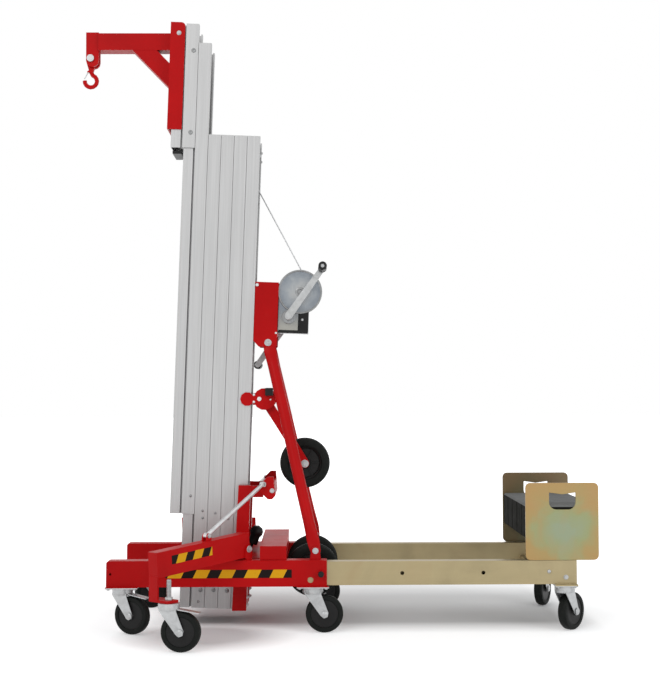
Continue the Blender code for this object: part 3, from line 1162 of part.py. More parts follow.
def build_rope():
    """Sheave in the fixed stage, and the rope from the drum over it and down inside the stage."""
    axis = (-SHEAVE_DEPTH, SHEAVE_AXIS[1])
    axle_half = STAGE_HALF_WIDTH - STAGE_WALL - FIT
    profile = [(0, -axle_half), (SHEAVE_AXLE_RADIUS, -axle_half), (SHEAVE_AXLE_RADIUS, -SHEAVE_HALF_WIDTH),
               (SHEAVE_RIM_RADIUS, -SHEAVE_HALF_WIDTH), (SHEAVE_RIM_RADIUS, -SHEAVE_HALF_WIDTH * 0.7),
               (SHEAVE_GROOVE_RADIUS, -ROPE_RADIUS)]
    profile += [(radius, -y) for radius, y in reversed(profile)]
    make_part("head_sheave", "zinc", [turned(profile, SHEAVE_SIDES, *axis, frame=MAST)],
              origin=MAST @ Vector((axis[0], 0, axis[1])))
    rope_at_sheave = SHEAVE_GROOVE_RADIUS + ROPE_RADIUS + FIT
    rope_at_drum = DRUM_BARREL_RADIUS + ROPE_RADIUS + FIT
    run = Vector(DRUM_AXIS) - Vector(axis)
    heading = math.atan2(run.y, run.x)
    lean = math.asin((rope_at_drum - rope_at_sheave) / run.length)
    leave = math.degrees(heading + math.pi / 2 + lean)
    drum_point = arc(DRUM_AXIS, rope_at_drum, leave, leave, 1)[0]
    points = [drum_point] + arc(axis, rope_at_sheave, leave, 180, 8)
    foot = 2 * WELD + ROPE_ANCHOR_THICKNESS + 0.004
    points.append((axis[0] - rope_at_sheave, foot))
    make_part("wire_rope", "steel_rope",
              [round_bar([(x, 0, z) for x, z in points], ROPE_RADIUS, MAST)])


def build_struts():
    """Round tubes with flat ends, from inside the winch bracket down to the ears on the rails."""
    top_y = BRACKET_HALF_WIDTH - BRACKET_WALL - FIT - STRUT_PLATE / 2
    top = Vector((STRUT_TOP_X, -top_y, STRUT_TOP_Z))
    foot = Vector((STRUT_FOOT_X, -RAIL_Y, RAIL_TOP + STRUT_FOOT_HEIGHT))
    run = (foot - top).normalized()
    solids = [bar(top + run * STRUT_TUBE_START, foot - run * STRUT_TUBE_START, STRUT_RADIUS, STRUT_SIDES)]
    cuts = []
    for end, way in ((top, 1), (foot, -1)):
        inward = end + run * way * STRUT_PLATE_LENGTH
        outline = strap((end.x, end.z), (inward.x, inward.z), STRUT_RADIUS * 0.8, STRUT_RADIUS * 0.9)
        solids.append(side_plate([outline], end.y - STRUT_PLATE / 2, end.y + STRUT_PLATE / 2))
        cuts.append(cross_bar(end.x, end.z, end.y - STRUT_PLATE, end.y + STRUT_PLATE, STRUT_PIN_RADIUS + FIT))
    near = make_part("strut_near", "red_paint", solids, cuts)
    mirrored_part("strut_far", near)


def build_loading_wheel():
    """Index bracket on the mast, swing arm on its pin, and the wheel on the arm's axle."""
    x, z = LOADING_PIVOT
    plate_inner = STAGE_HALF_WIDTH + FIT
    plate_outer = plate_inner + INDEX_PLATE
    lobe_open = math.degrees(math.asin(INDEX_NECK_HALF / INDEX_LOBE_RADIUS))
    disc_open = math.degrees(math.asin(INDEX_NECK_HALF / INDEX_DISC_RADIUS))
    outline = arc((INDEX_LOBE_X, z), INDEX_LOBE_RADIUS, lobe_open, 360 - lobe_open, 8)
    outline += arc((x, z), INDEX_DISC_RADIUS, disc_open - 180, 180 - disc_open, 12)
    mast_rear = (MAST @ Vector((0, 0, z - MAST_FOOT_Z))).x
    cross_front = mast_rear + LOADING_CROSS_FRONT
    solids = [cross_bar(x, z, -plate_inner - WELD, plate_inner + WELD, LOADING_PIN_RADIUS)]
    for hand in (-1, 1):
        solids.append(side_plate([outline], *sorted((hand * plate_inner, hand * plate_outer))))
    solids.append(box_between((cross_front, -plate_inner - WELD, z - LOADING_CROSS_HEIGHT / 2),
                              (cross_front + LOADING_CROSS_DEPTH, plate_inner + WELD,
                               z + LOADING_CROSS_HEIGHT / 2)))
    knob_x = x + INDEX_KNOB_OFFSET[0]
    knob_z = z + INDEX_KNOB_OFFSET[1] * 0.5
    solids.append(cross_bar(knob_x, knob_z, -plate_outer - INDEX_KNOB_LENGTH, -plate_outer + WELD,
                            INDEX_KNOB_RADIUS))
    make_part("wheel_bracket", "red_paint", solids)

    wheel_x, wheel_z = LOADING_CENTRE
    arm_half = LOADING_ARM / 2
    hub_end = plate_inner - SLIDE_PLAY
    arm_outline = strap((x, z), (wheel_x, wheel_z), arm_half, arm_half * 0.9)
    inner = LOADING_ARM_Y + arm_half
    hub_face = -LOADING_HUB_HALF - SLIDE_PLAY
    solids = [
        side_plate([arm_outline], LOADING_ARM_Y - arm_half, inner),
        cross_bar(x, z, -hub_end, hub_end, LOADING_HUB_RADIUS),
        cross_bar(wheel_x, wheel_z, LOADING_ARM_Y, LOADING_HUB_HALF + 2 * SLIDE_PLAY, LOADING_AXLE_RADIUS),
        cross_bar(wheel_x, wheel_z, inner - WELD, hub_face, LOADING_AXLE_RADIUS * 1.6),
        cross_bar(wheel_x, wheel_z, LOADING_HUB_HALF + SLIDE_PLAY, LOADING_HUB_HALF + 0.005,
                  LOADING_AXLE_RADIUS * 1.5),
    ]
    bore = cross_bar(x, z, -plate_outer, plate_outer, LOADING_PIN_RADIUS + FIT)
    make_part("wheel_arm", "red_paint", solids, [bore], origin=(x, 0, z))
    make_part("loading_wheel", "black_rubber",
              [large_wheel(LOADING_RADIUS, LOADING_AXLE_RADIUS + FIT, LOADING_HUB_HALF, LOADING_TYRE_HALF,
                           LOADING_SIDES, wheel_x, 0, wheel_z)],
              origin=(wheel_x, 0, wheel_z))


def build_outriggers():
    """Beam that folds up about its pivot on the rail, with an end post, foot plate and rod lug."""
    frame = outrigger_frame(-1)
    drop = Matrix.Rotation(BEAM_DROP, 4, "Y")
    half = BEAM_WIDTH / 2
    middle = BEAM_RISE
    end = OUTRIGGER_REACH / math.cos(BEAM_DROP)
    beam = box_between((-BEAM_HEEL, -half, middle - BEAM_HEIGHT / 2), (end, half, middle + BEAM_HEIGHT / 2),
                       frame @ drop)
    hollow = box_between((BEAM_HEEL * 2, -half + BEAM_WALL, middle - BEAM_HEIGHT / 2 + BEAM_WALL),
                         (end - BEAM_WALL, half - BEAM_WALL, middle + BEAM_HEIGHT / 2 - BEAM_WALL), frame @ drop)
    slot = box_between((end - 2 * END_POST_DEPTH, -half + 2 * BEAM_WALL, middle - BEAM_HEIGHT),
                       (end - 2 * BEAM_WALL, half - 2 * BEAM_WALL, middle), frame @ drop)
    plate_low = CASTER_HEIGHT - CASTER_PLATE - OUTRIGGER_PIVOT_Z
    plate_high = plate_low + FOOT_PLATE
    beam_low = middle - BEAM_HEIGHT / 2 - math.tan(BEAM_DROP) * OUTRIGGER_REACH + 2 * BEAM_WALL
    reach = OUTRIGGER_REACH
    post_wall = 2 * BEAM_WALL
    foot_start = reach - SWIVEL_INWARD - FOOT_PLATE_LENGTH / 2
    lug_low = BEAM_RISE + BEAM_HEIGHT / 2 - math.tan(BEAM_DROP) * LUG_X - 2 * WELD
    ear = strap((LUG_X, lug_low), (LUG_X, LUG_Z), LUG_RADIUS * 1.2, LUG_RADIUS * 0.8, 5)
    ear = [(x, max(z, lug_low)) for x, z in ear]
    solids = [
        beam,
        box_between((reach - post_wall, -half + WELD / 2, plate_low + WELD), (reach, half - WELD / 2, beam_low),
                    frame),
        box_between((reach - END_POST_DEPTH, -half + WELD, plate_low + 2 * WELD),
                    (reach - WELD, -half + post_wall, beam_low - WELD), frame),
        box_between((foot_start, -half + 2 * WELD, plate_low),
                    (reach - WELD / 2, SWIVEL_ASIDE + FOOT_PLATE_REACH / 2, plate_high), frame),
    ]
    for hand in (-1, 1):
        edges = sorted((hand * LUG_HALF_GAP, hand * (LUG_HALF_GAP + LUG_EAR)))
        solids.append(side_plate([ear], *edges, frame=frame))
    lug_end = LUG_HALF_GAP + LUG_EAR
    solids.append(cross_bar(LUG_X, LUG_Z, -lug_end, lug_end, LUG_PIN_RADIUS, frame=frame))
    swivel_x = OUTRIGGER_REACH - SWIVEL_INWARD
    cuts = [
        hollow,
        slot,
        cross_bar(0, 0, -BEAM_WIDTH, BEAM_WIDTH, BEAM_PIN_RADIUS + FIT, frame=frame),
        bar((swivel_x, SWIVEL_ASIDE, plate_low - WELD), (swivel_x, SWIVEL_ASIDE, plate_high + WELD),
            STEM_RADIUS + FIT, frame=frame),
    ]
    near = make_part("outrigger_near", "red_paint", solids, cuts,
                     origin=(OUTRIGGER_PIVOT_X, -RAIL_Y, OUTRIGGER_PIVOT_Z))
    mirrored_part("outrigger_far", near)

    lug = (LUG_X, LUG_Z)
    rod = Vector((BRACE_ROD_TIP[0] - lug[0], 0, BRACE_ROD_TIP[1] - lug[1]))
    way = rod.normalized()
    start = Vector((lug[0], 0, lug[1])) + way * BRACE_ROD_EYE_RADIUS * 0.6
    tip = Vector((lug[0], 0, lug[1])) + rod - way * BRACE_ROD_EYE_RADIUS * 0.6
    eye_half = BRACE_ROD_EYE_HALF
    solids = [
        bar(start, tip, BRACE_ROD_RADIUS * 0.95, 10, frame),
        cross_bar(*lug, -eye_half, eye_half, BRACE_ROD_EYE_RADIUS, 10, frame),
        cross_bar(*BRACE_ROD_TIP, -eye_half, eye_half, BRACE_ROD_EYE_RADIUS, 10, frame),
    ]
    bores = [cross_bar(*lug, -BEAM_WIDTH, BEAM_WIDTH, LUG_PIN_RADIUS + FIT, frame=frame),
             cross_bar(*BRACE_ROD_TIP, -BEAM_WIDTH, BEAM_WIDTH, LUG_PIN_RADIUS + FIT, frame=frame)]
    near = make_part("brace_rod_near", "zinc", solids, bores, origin=frame @ Vector((*lug[:1], 0, lug[1])))
    mirrored_part("brace_rod_far", near)


def build_foot_grip():
    """Pull knob of the mast lock. Its stem leans back and goes through the floor plate."""
    frame = knob_frame()
    start = LOCK_KNOB_STEM
    middle = LOCK_KNOB_CENTRE
    radius = LOCK_KNOB_RADIUS
    profile = [(0, -LOCK_KNOB_STEM_TAIL), (LOCK_KNOB_STEM_RADIUS, -LOCK_KNOB_STEM_TAIL),
               (LOCK_KNOB_STEM_RADIUS, start), (LOCK_KNOB_BODY_RADIUS, start),
               (LOCK_KNOB_BODY_RADIUS, middle - radius * 0.68), (radius * 0.97, middle - radius * 0.25),
               (radius * 0.97, middle + radius * 0.25), (radius * 0.68, middle + radius * 0.75),
               (0, middle + radius)]
    make_part("foot_grip", "black_plastic",
              [turned(profile, 12, frame=frame @ Matrix.Rotation(math.pi / 2, 4, "X"))],
              origin=frame.translation)


def build_stacker():
    """Every part of the machine."""
    build_base_rails()
    build_extension()
    build_lock_pins()
    build_counterweight()
    build_casters()
    build_mast_mount()
    build_transport_wheels()
    build_mast()
    build_boom()
    build_hook()
    build_winch_bracket()
    build_winch()
    build_rope()
    build_struts()
    build_loading_wheel()
    build_outriggers()
    build_foot_grip()


clear_scene()
for collection_name in ("manual_stacker", "workshop"):
    bpy.context.scene.collection.children.link(bpy.data.collections.new(collection_name))
FINISH_MATERIALS = make_finishes()
build_stacker()
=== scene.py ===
"""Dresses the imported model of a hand-operated stacker and lights it for its picture.

Metres, +Z up. The floor is Z = 0, the boom points to -X, the counterweight stands at +X and the
camera looks from -Y, the near side.
"""

import json
import math

import bmesh
import bpy
from bpy.props import FloatProperty, FloatVectorProperty, IntProperty, PointerProperty
from mathutils import Matrix, Vector

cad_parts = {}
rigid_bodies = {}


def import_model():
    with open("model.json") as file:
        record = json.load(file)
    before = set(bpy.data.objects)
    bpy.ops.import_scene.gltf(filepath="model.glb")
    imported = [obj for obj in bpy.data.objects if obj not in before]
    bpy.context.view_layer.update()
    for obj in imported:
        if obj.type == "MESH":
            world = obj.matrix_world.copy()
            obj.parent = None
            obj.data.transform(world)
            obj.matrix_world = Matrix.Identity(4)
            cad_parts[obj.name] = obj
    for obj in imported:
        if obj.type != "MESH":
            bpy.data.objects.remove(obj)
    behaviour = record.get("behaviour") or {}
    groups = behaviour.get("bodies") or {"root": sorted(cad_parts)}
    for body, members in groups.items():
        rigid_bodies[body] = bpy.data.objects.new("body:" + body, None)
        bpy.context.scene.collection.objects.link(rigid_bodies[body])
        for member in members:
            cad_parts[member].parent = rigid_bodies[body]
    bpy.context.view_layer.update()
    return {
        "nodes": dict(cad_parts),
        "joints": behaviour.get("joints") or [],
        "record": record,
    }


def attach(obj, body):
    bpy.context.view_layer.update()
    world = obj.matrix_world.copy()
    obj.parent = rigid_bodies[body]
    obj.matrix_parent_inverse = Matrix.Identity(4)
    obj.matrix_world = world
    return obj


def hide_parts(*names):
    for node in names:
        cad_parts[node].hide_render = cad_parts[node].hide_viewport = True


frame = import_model()

bl_info = {
    "name": "Manual Stacker",
    "version": (1, 0, 0),
    "blender": (4, 5, 0),
    "location": "View3D > Sidebar > Stacker",
    "description": "Finishes and small parts of a hand-operated stacker",
    "category": "Object",
}

PIVOTS = {joint["name"]: Vector(joint["pos_m"]) for joint in frame["joints"] if joint.get("pos_m")}
BODIES = frame["record"]["behaviour"]["bodies"]
BODY_OF = {node: body for body, nodes in BODIES.items() for node in nodes}

MAST_LEAN = math.radians(2.1)
MAST_FOOT = Vector((-0.3071, 0, 0.049))
STAGE_HALF_WIDTH = 0.0825
STAGE_LENGTH = 1.632
BRACKET_HALF_WIDTH = 0.0795
RAIL_Y = 0.250
RAIL_OUTER_Y = 0.275
OUTRIGGER_TURN = math.radians(49.1)
BEAM_DROP = math.radians(3.8)
TAPE_FIRST_YELLOW = Vector((-0.548, -0.275, 0.1830))
TAPE_FIRST_YELLOW_OUT = 0.3235
TAPE_OUTRIGGER_Z = 0.0202
TAPE_YELLOW_SHARE = 0.535
TAPE_SLANT = 0.5
ENDLESS = 1000.0
COVER_REACH = (0.076, ENDLESS, 0.076)
PLATE_REACH = (0.165, ENDLESS, 0.160)
# Heights of the painted highlight along the top of the weight stack.
STACK_HIGHLIGHT_Z = (0.4095, 0.4110)
FILM = 0.0006
DOUBLES = 0.00001
SEAM = 0.0000005
FLAT_ANGLE = math.radians(0.6)
LOFT_SIDES = 28

MAST = Matrix.Translation(MAST_FOOT) @ Matrix.Rotation(MAST_LEAN, 4, "Y")
CASTERS = ("front_near", "front_far", "middle_near", "middle_far", "rear_near", "rear_far",
           "outrigger_near", "outrigger_far")
HANDS = (("near", -1), ("far", 1))


# Settings


def colour_setting(name, description, default):
    """Colour of a finish."""
    return FloatVectorProperty(name=name, description=description, subtype="COLOR", size=3, min=0, max=1,
                               default=default)


def length_setting(name, description, low, high, default):
    """Length in metres."""
    return FloatProperty(name=name, description=description, subtype="DISTANCE", unit="LENGTH", min=low,
                         max=high, default=default)


def power_setting(name, description, default):
    """Power of a lamp in watts."""
    return FloatProperty(name=name, description=description, subtype="POWER", unit="POWER", min=0, max=2000,
                         default=default)


class StackerColours(bpy.types.PropertyGroup):
    """Colours of the stacker's finishes."""

    red: colour_setting("Red", "Powder coat of the weldments", (0.56, 0.0050, 0.0062))
    aluminium: colour_setting("Aluminium", "Anodised mast sections", (0.465, 0.465, 0.465))
    zinc: colour_setting("Zinc", "Bright zinc of the winch and forks", (0.47, 0.48, 0.485))
    gold: colour_setting("Gold", "Yellow zinc of the extension rails", (0.41, 0.335, 0.185))
    rubber: colour_setting("Rubber", "Tyres", (0.0070, 0.0085, 0.0075))
    plastic: colour_setting("Plastic", "Grips, knobs and wheel cores", (0.010, 0.010, 0.010))
    iron: colour_setting("Iron", "Black paint of the weight stack", (0.0125, 0.0125, 0.0105))
    tape_yellow: colour_setting("Tape yellow", "Light stripes of the safety tape", (0.86, 0.44, 0.012))
    tape_black: colour_setting("Tape black", "Dark stripes of the safety tape", (0.010, 0.006, 0.005))
    floor: colour_setting("Floor", "Pale studio floor", (0.80, 0.81, 0.82))


class StackerSizes(bpy.types.PropertyGroup):
    """Sizes of the stacker's small parts."""

    edge: length_setting("Edge", "Rounding of the steel edges", 0.0001, 0.003, 0.0010)
    fine_edge: length_setting("Fine edge", "Rounding of the extruded and plated edges", 0.0001, 0.002, 0.0005)
    tyre_radius: length_setting("Caster tyre", "Radius of the caster tyres", 0.05, 0.07, 0.0622)
    tape_height: length_setting("Tape height", "Height of the safety tape", 0.01, 0.05, 0.027)
    tape_pitch: length_setting("Tape pitch", "Length of one light and one dark stripe", 0.02, 0.2, 0.084)
    outrigger_pitch: length_setting("Outrigger tape pitch", "The same on an outrigger", 0.02, 0.2, 0.0725)
    rope_radius: length_setting("Rope", "Radius of the wire rope", 0.001, 0.004, 0.0022)
    wheel_sides: IntProperty(name="Wheel sides", description="Facets round a wheel", min=24, max=128,
                             default=72)


class StackerStage(bpy.types.PropertyGroup):
    """Camera and lamps."""

    camera_place: FloatVectorProperty(name="Camera", description="Where the camera stands",
                                      subtype="TRANSLATION", unit="LENGTH", size=3,
                                      default=(-0.0718, -4.7227, 0.8152))
    camera_turn: FloatVectorProperty(name="Camera turn", description="How the camera is turned",
                                     subtype="EULER", unit="ROTATION", size=3,
                                     default=(math.radians(91.973), math.radians(0.17), math.radians(-0.785)))
    lens: FloatProperty(name="Lens", description="Focal length in millimetres", min=20, max=200, default=71.4)
    key_power: power_setting("Key lamp", "Power of the large lamp", 140)
    fill_power: power_setting("Fill lamp", "Power of the near lamp", 95)
    sky: FloatProperty(name="Sky", description="Brightness of the room", min=0, max=2, default=0.55)


def colours():
    """The finishes' colours."""
    return bpy.context.scene.stacker_colours


def sizes():
    """The small parts' sizes."""
    return bpy.context.scene.stacker_sizes


# Node trees


class NodeBuilder:
    """Adds nodes to one node tree."""

    def __init__(self, tree):
        self.nodes = tree.nodes
        self.links = tree.links

    def feed(self, socket, value):
        """Link a socket or set it to a value."""
        if isinstance(value, bpy.types.NodeSocket):
            self.links.new(value, socket)
        else:
            socket.default_value = value

    def node(self, kind, inputs, **settings):
        """Add a node with its settings, and feed its inputs."""
        node = self.nodes.new(f"ShaderNode{kind}")
        for name, value in settings.items():
            setattr(node, name, value)
        for name, value in inputs.items():
            self.feed(node.inputs[name], value)
        return node

    def combine(self, first, second, operation="ADD"):
        """Sum, or another operation, of two values."""
        return self.node("Math", {0: first, 1: second}, operation=operation).outputs["Value"]

    def spread(self, value, low, high, start=0.0, end=1.0):
        """Value moved from one range to another."""
        inputs = {"Value": value, "From Min": start, "From Max": end, "To Min": low, "To Max": high}
        return self.node("MapRange", inputs).outputs["Result"]

    def seen(self):
        """1 for a ray of the camera, a reflection or a transmission, else 0."""
        ray = self.node("LightPath", {}).outputs
        found = self.combine(ray["Is Camera Ray"], ray["Is Glossy Ray"], "MAXIMUM")
        return self.combine(found, ray["Is Transmission Ray"], "MAXIMUM")


class Finish(NodeBuilder):
    """Builds the node tree of one material."""

    def __init__(self, name, roughness, metallic=0.0):
        self.material = bpy.data.materials.new(name)
        self.material.use_nodes = True
        super().__init__(self.material.node_tree)
        self.shader = self.nodes["Principled BSDF"]
        self.feed(self.shader.inputs["Roughness"], roughness)
        self.feed(self.shader.inputs["Metallic"], metallic)
        self.place = self.node("TexCoord", {}).outputs["Object"]

    def turned_place(self, turn=(0, 0, 0), stretch=(1, 1, 1), centre=(0, 0, 0)):
        """Object coordinates, moved to a centre, turned and stretched."""
        inputs = {"Location": centre, "Rotation": turn, "Scale": stretch, "Vector": self.place}
        return self.node("Mapping", inputs, vector_type="TEXTURE").outputs["Vector"]

    def noise(self, scale, detail=3.0, roughness=0.5, place=None, distortion=0.0):
        """Noise from 0 to 1."""
        inputs = {"Scale": scale, "Detail": detail, "Roughness": roughness, "Distortion": distortion,
                  "Vector": place or self.place}
        return self.node("TexNoise", inputs).outputs["Fac"]

    def ramp(self, value, *stops):
        """Colour ramp from pairs of position and colour."""
        node = self.node("ValToRGB", {"Fac": value})
        elements = node.color_ramp.elements
        while len(elements) < len(stops):
            elements.new(0.5)
        for element, (position, colour) in zip(elements, stops):
            element.position = position
            element.color = (*colour, 1)
        return node.outputs["Color"]

    def mix(self, share, first, second):
        """Mix of two colours."""
        first, second = (value if isinstance(value, bpy.types.NodeSocket) else (*value, 1)
                         for value in (first, second))
        return self.node("Mix", {0: share, 6: first, 7: second}, data_type="RGBA").outputs[2]

    def distance(self, centre, reach):
        """Distance from a centre, as a share of the reach along each axis."""
        place = self.turned_place(centre=centre, stretch=reach)
        return self.node("VectorMath", {0: place}, operation="LENGTH").outputs["Value"]

    def axis(self, name, place=None):
        """One coordinate."""
        return self.node("SeparateXYZ", {"Vector": place or self.place}).outputs[name]

    def colour(self, value):
        """Base colour."""
        self.feed(self.shader.inputs["Base Color"], value)

    def gloss(self, value, low, high):
        """Roughness that goes from low to high as a value goes from 0 to 1."""
        self.feed(self.shader.inputs["Roughness"], self.spread(value, low, high))

    def sheen(self, level):
        """Strength of the reflections."""
        self.feed(self.shader.inputs["Specular IOR Level"], level)

    def bump(self, height, depth, strength):
        """Relief of a depth in metres."""
        bump = self.node("Bump", {"Strength": strength, "Distance": depth, "Height": height})
        self.feed(self.shader.inputs["Normal"], bump.outputs["Normal"])


def shade(colour, factor):
    """A colour made lighter or darker."""
    return tuple(min(1.0, channel * factor) for channel in colour)


def red_powder_coat():
    """Gloss powder coat: soft colour drift, orange peel and faint rubbed patches."""
    finish = Finish("red_powder_coat", 0.3)
    red = colours().red
    drift = finish.ramp(finish.noise(4.5, 4, 0.6), (0.30, shade(red, 0.82)), (0.70, shade(red, 1.08)))
    rubbed = finish.noise(38, 6, 0.65)
    rubbed_share = finish.spread(rubbed, 0.0, 0.10, 0.60, 0.78)
    finish.colour(finish.mix(rubbed_share, drift, (0.50, 0.05, 0.04)))
    finish.gloss(finish.noise(16, 4, 0.6), 0.30, 0.46)
    finish.bump(finish.noise(650, 2, 0.5), 0.00025, 0.35)
    finish.sheen(0.10)
    return finish.material


def anodised_extrusion():
    """Satin aluminium with drawing lines along the mast, and painted shade that darkens it near the floor."""
    finish = Finish("anodised_extrusion", 0.42, 0.82)
    grey = colours().aluminium
    along = finish.turned_place((0, MAST_LEAN, 0), (1, 1, 60))
    lines = finish.noise(210, 3, 0.55, along)
    clouds = finish.noise(3.2, 3, 0.5)
    base = finish.ramp(lines, (0.25, shade(grey, 0.90)), (0.75, shade(grey, 1.06)))
    drawn = finish.mix(finish.spread(clouds, 0.0, 0.35, 0.35, 0.75), base, shade(grey, 0.88))
    # Painted shade: the aluminium grows darker towards the floor.
    painted_low_shade = finish.spread(finish.axis("Z"), 0.10, 0.0, 0.1, 1.0)
    finish.colour(finish.mix(painted_low_shade, drawn, shade(grey, 0.45)))
    finish.gloss(lines, 0.36, 0.52)
    finish.bump(lines, 0.00012, 0.30)
    return finish.material


def zinc_plate(name, brightness):
    """Zinc plate with a faint blue cast, crystal patches and handling marks."""
    finish = Finish(name, 0.32, 0.75)
    zinc = shade(colours().zinc, brightness)
    patches = finish.noise(42, 5, 0.6, distortion=0.6)
    base = finish.ramp(patches, (0.30, shade(zinc, 0.82)), (0.52, zinc), (0.75, shade(zinc, 1.16)))
    marks = finish.spread(finish.noise(9, 3), 0.0, 0.30, 0.50, 0.80)
    finish.colour(finish.mix(marks, base, (zinc[0] * 0.82, zinc[1] * 0.78, zinc[2] * 0.70)))
    finish.gloss(patches, 0.26, 0.46)
    finish.bump(finish.noise(320, 3, 0.6), 0.00010, 0.4)
    return finish.material


def cover_zinc():
    """Zinc plate of the gear cover: blue-grey towards its rim, where painted shade darkens it, and warmer
    below.
    """
    finish = Finish("cover_zinc", 0.34, 0.70)
    patches = finish.noise(30, 5, 0.6, distortion=0.8)
    away = finish.distance(PIVOTS["drum_spin"], COVER_REACH)
    reach = finish.combine(away, finish.spread(patches, -0.45, 0.45))
    # Painted shade: the cover grows darker from its middle towards the rim, over the zinc's blue-grey tone.
    disc = finish.ramp(reach, (0.25, (0.42, 0.43, 0.43)), (0.65, (0.30, 0.325, 0.35)),
                       (0.95, (0.22, 0.245, 0.275)))
    below = finish.spread(finish.axis("Z"), 0.85, 0.0, 1.02, 1.085)
    finish.colour(finish.mix(below, disc, (0.36, 0.35, 0.31)))
    finish.gloss(patches, 0.24, 0.44)
    finish.bump(finish.noise(320, 3, 0.6), 0.00010, 0.4)
    return finish.material


def yellow_zinc():
    """Yellow zinc on rolled steel: warm beige with long streaks and faint green and rose."""
    finish = Finish("yellow_zinc", 0.36, 0.45)
    gold = colours().gold
    along = finish.turned_place(stretch=(14, 1, 1))
    streaks = finish.noise(60, 4, 0.6, along)
    clouds = finish.noise(5.0, 4, 0.55, distortion=0.8)
    base = finish.ramp(clouds, (0.28, shade(gold, 0.80)), (0.46, gold), (0.58, shade(gold, 1.08)),
                       (0.74, (0.42, 0.32, 0.17)))
    rose = finish.spread(finish.noise(11, 3, distortion=1.0), 0.0, 0.16, 0.55, 0.80)
    finish.colour(finish.mix(finish.spread(streaks, 0.0, 0.35), finish.mix(rose, base, (0.46, 0.31, 0.18)),
                             shade(gold, 0.84)))
    finish.gloss(streaks, 0.28, 0.48)
    finish.bump(streaks, 0.00012, 0.35)
    return finish.material


def rainbow_zinc(name, centre, gold, green, rose):
    """Yellow zinc on a weight plate: green in the middle, gold at the edges, rosy clouds."""
    finish = Finish(name, 0.36, 0.40)
    clouds = finish.noise(11, 4, 0.55, distortion=0.7)
    reach = finish.combine(finish.distance(centre, PLATE_REACH), finish.spread(clouds, -0.45, 0.45))
    base = finish.ramp(reach, (0.15, green), (0.45, (green[0] * 1.05, green[1] * 0.98, green[2] * 0.75)),
                       (0.70, (gold[0] * 0.92, gold[1] * 1.05, gold[2] * 1.1)), (1.05, gold))
    blush = finish.spread(finish.noise(10, 3, 0.5, distortion=0.8), 0.0, 0.30, 0.48, 0.72)
    finish.colour(finish.mix(blush, base, rose))
    finish.gloss(clouds, 0.26, 0.44)
    finish.bump(finish.noise(240, 3, 0.6), 0.0001, 0.3)
    return finish.material


def tyre_rubber():
    """Black rubber with dust in its grain."""
    finish = Finish("tyre_rubber", 0.55)
    black = colours().rubber
    dust = finish.spread(finish.noise(70, 5, 0.6), 0.0, 0.4, 0.52, 0.80)
    finish.colour(finish.mix(dust, black, (0.028, 0.028, 0.026)))
    finish.gloss(finish.noise(40, 3), 0.46, 0.70)
    finish.sheen(0.14)
    finish.bump(finish.noise(420, 3, 0.6), 0.0002, 0.5)
    return finish.material


def moulded_plastic():
    """Black moulded plastic with a fine spark-eroded texture."""
    finish = Finish("moulded_plastic", 0.42)
    black = colours().plastic
    finish.colour(finish.ramp(finish.noise(30, 3), (0.30, shade(black, 0.8)), (0.75, shade(black, 1.5))))
    finish.gloss(finish.noise(25, 3), 0.34, 0.52)
    finish.sheen(0.20)
    finish.bump(finish.noise(900, 2, 0.5), 0.00015, 0.5)
    return finish.material


def black_iron():
    """Black paint on cast iron with worn brown spots, and a painted grey highlight along the top of the
    stack.
    """
    finish = Finish("black_iron", 0.4)
    iron = colours().iron
    worn = finish.spread(finish.noise(46, 6, 0.7), 0.0, 0.6, 0.64, 0.80)
    # Painted highlight: a grey band on the top of the black stack.
    top = finish.spread(finish.axis("Z"), 0.0, 0.55, *STACK_HIGHLIGHT_Z)
    finish.colour(finish.mix(top, finish.mix(worn, iron, (0.045, 0.038, 0.030)), (0.36, 0.37, 0.37)))
    finish.gloss(finish.noise(22, 4), 0.60, 0.80)
    finish.sheen(0.02)
    finish.bump(finish.noise(180, 5, 0.65), 0.0005, 0.5)
    return finish.material


def wire_strands(name, turn):
    """Steel strands laid round a rope, seen as slanted dark grooves."""
    finish = Finish(name, 0.38, 0.45)
    inputs = {"Scale": 95, "Distortion": 0.8, "Vector": finish.turned_place(turn)}
    lay = finish.node("TexWave", inputs, wave_type="BANDS", bands_direction="DIAGONAL").outputs["Fac"]
    finish.colour(finish.ramp(lay, (0.15, (0.46, 0.46, 0.47)), (0.6, (0.68, 0.69, 0.70))))
    finish.bump(lay, 0.0004, 0.8)
    return finish.material


def safety_tape(name, place, heading, pitch):
    """Slanted yellow and black stripes under a gloss film, laid along a place's x axis."""
    finish = Finish(name, 0.3)
    local = finish.turned_place(place.to_euler("XYZ"), centre=place.translation)
    along = finish.combine(finish.axis("X", local), heading, "MULTIPLY")
    slant = finish.combine(finish.axis("Z", local), TAPE_SLANT, "MULTIPLY")
    slanted = finish.combine(along, slant, "SUBTRACT")
    part = finish.combine(finish.combine(slanted, pitch, "DIVIDE"), 0.0, "FRACT")
    stripe = finish.ramp(part, (0.0, (1, 1, 1)), (TAPE_YELLOW_SHARE, (0, 0, 0)))
    stripe.node.color_ramp.interpolation = "CONSTANT"
    scuffs = finish.spread(finish.noise(55, 5, 0.65), 0.0, 0.45, 0.58, 0.80)
    yellow = finish.mix(scuffs, colours().tape_yellow, shade(colours().tape_yellow, 0.62))
    finish.colour(finish.mix(stripe, colours().tape_black, yellow))
    finish.gloss(finish.noise(60, 3), 0.30, 0.50)
    finish.sheen(0.10)
    finish.bump(finish.noise(500, 2), 0.0001, 0.2)
    return finish.material


def outrigger_tape(name, hand):
    """Tape stripes laid along an outrigger's beam."""
    place = outrigger_place(hand, TAPE_FIRST_YELLOW_OUT, 0, TAPE_OUTRIGGER_Z - sizes().tape_height / 2)
    if hand > 0:
        place.col[1] = -place.col[1]
    return safety_tape(name, place, -1, sizes().outrigger_pitch)


MATERIALS = {}


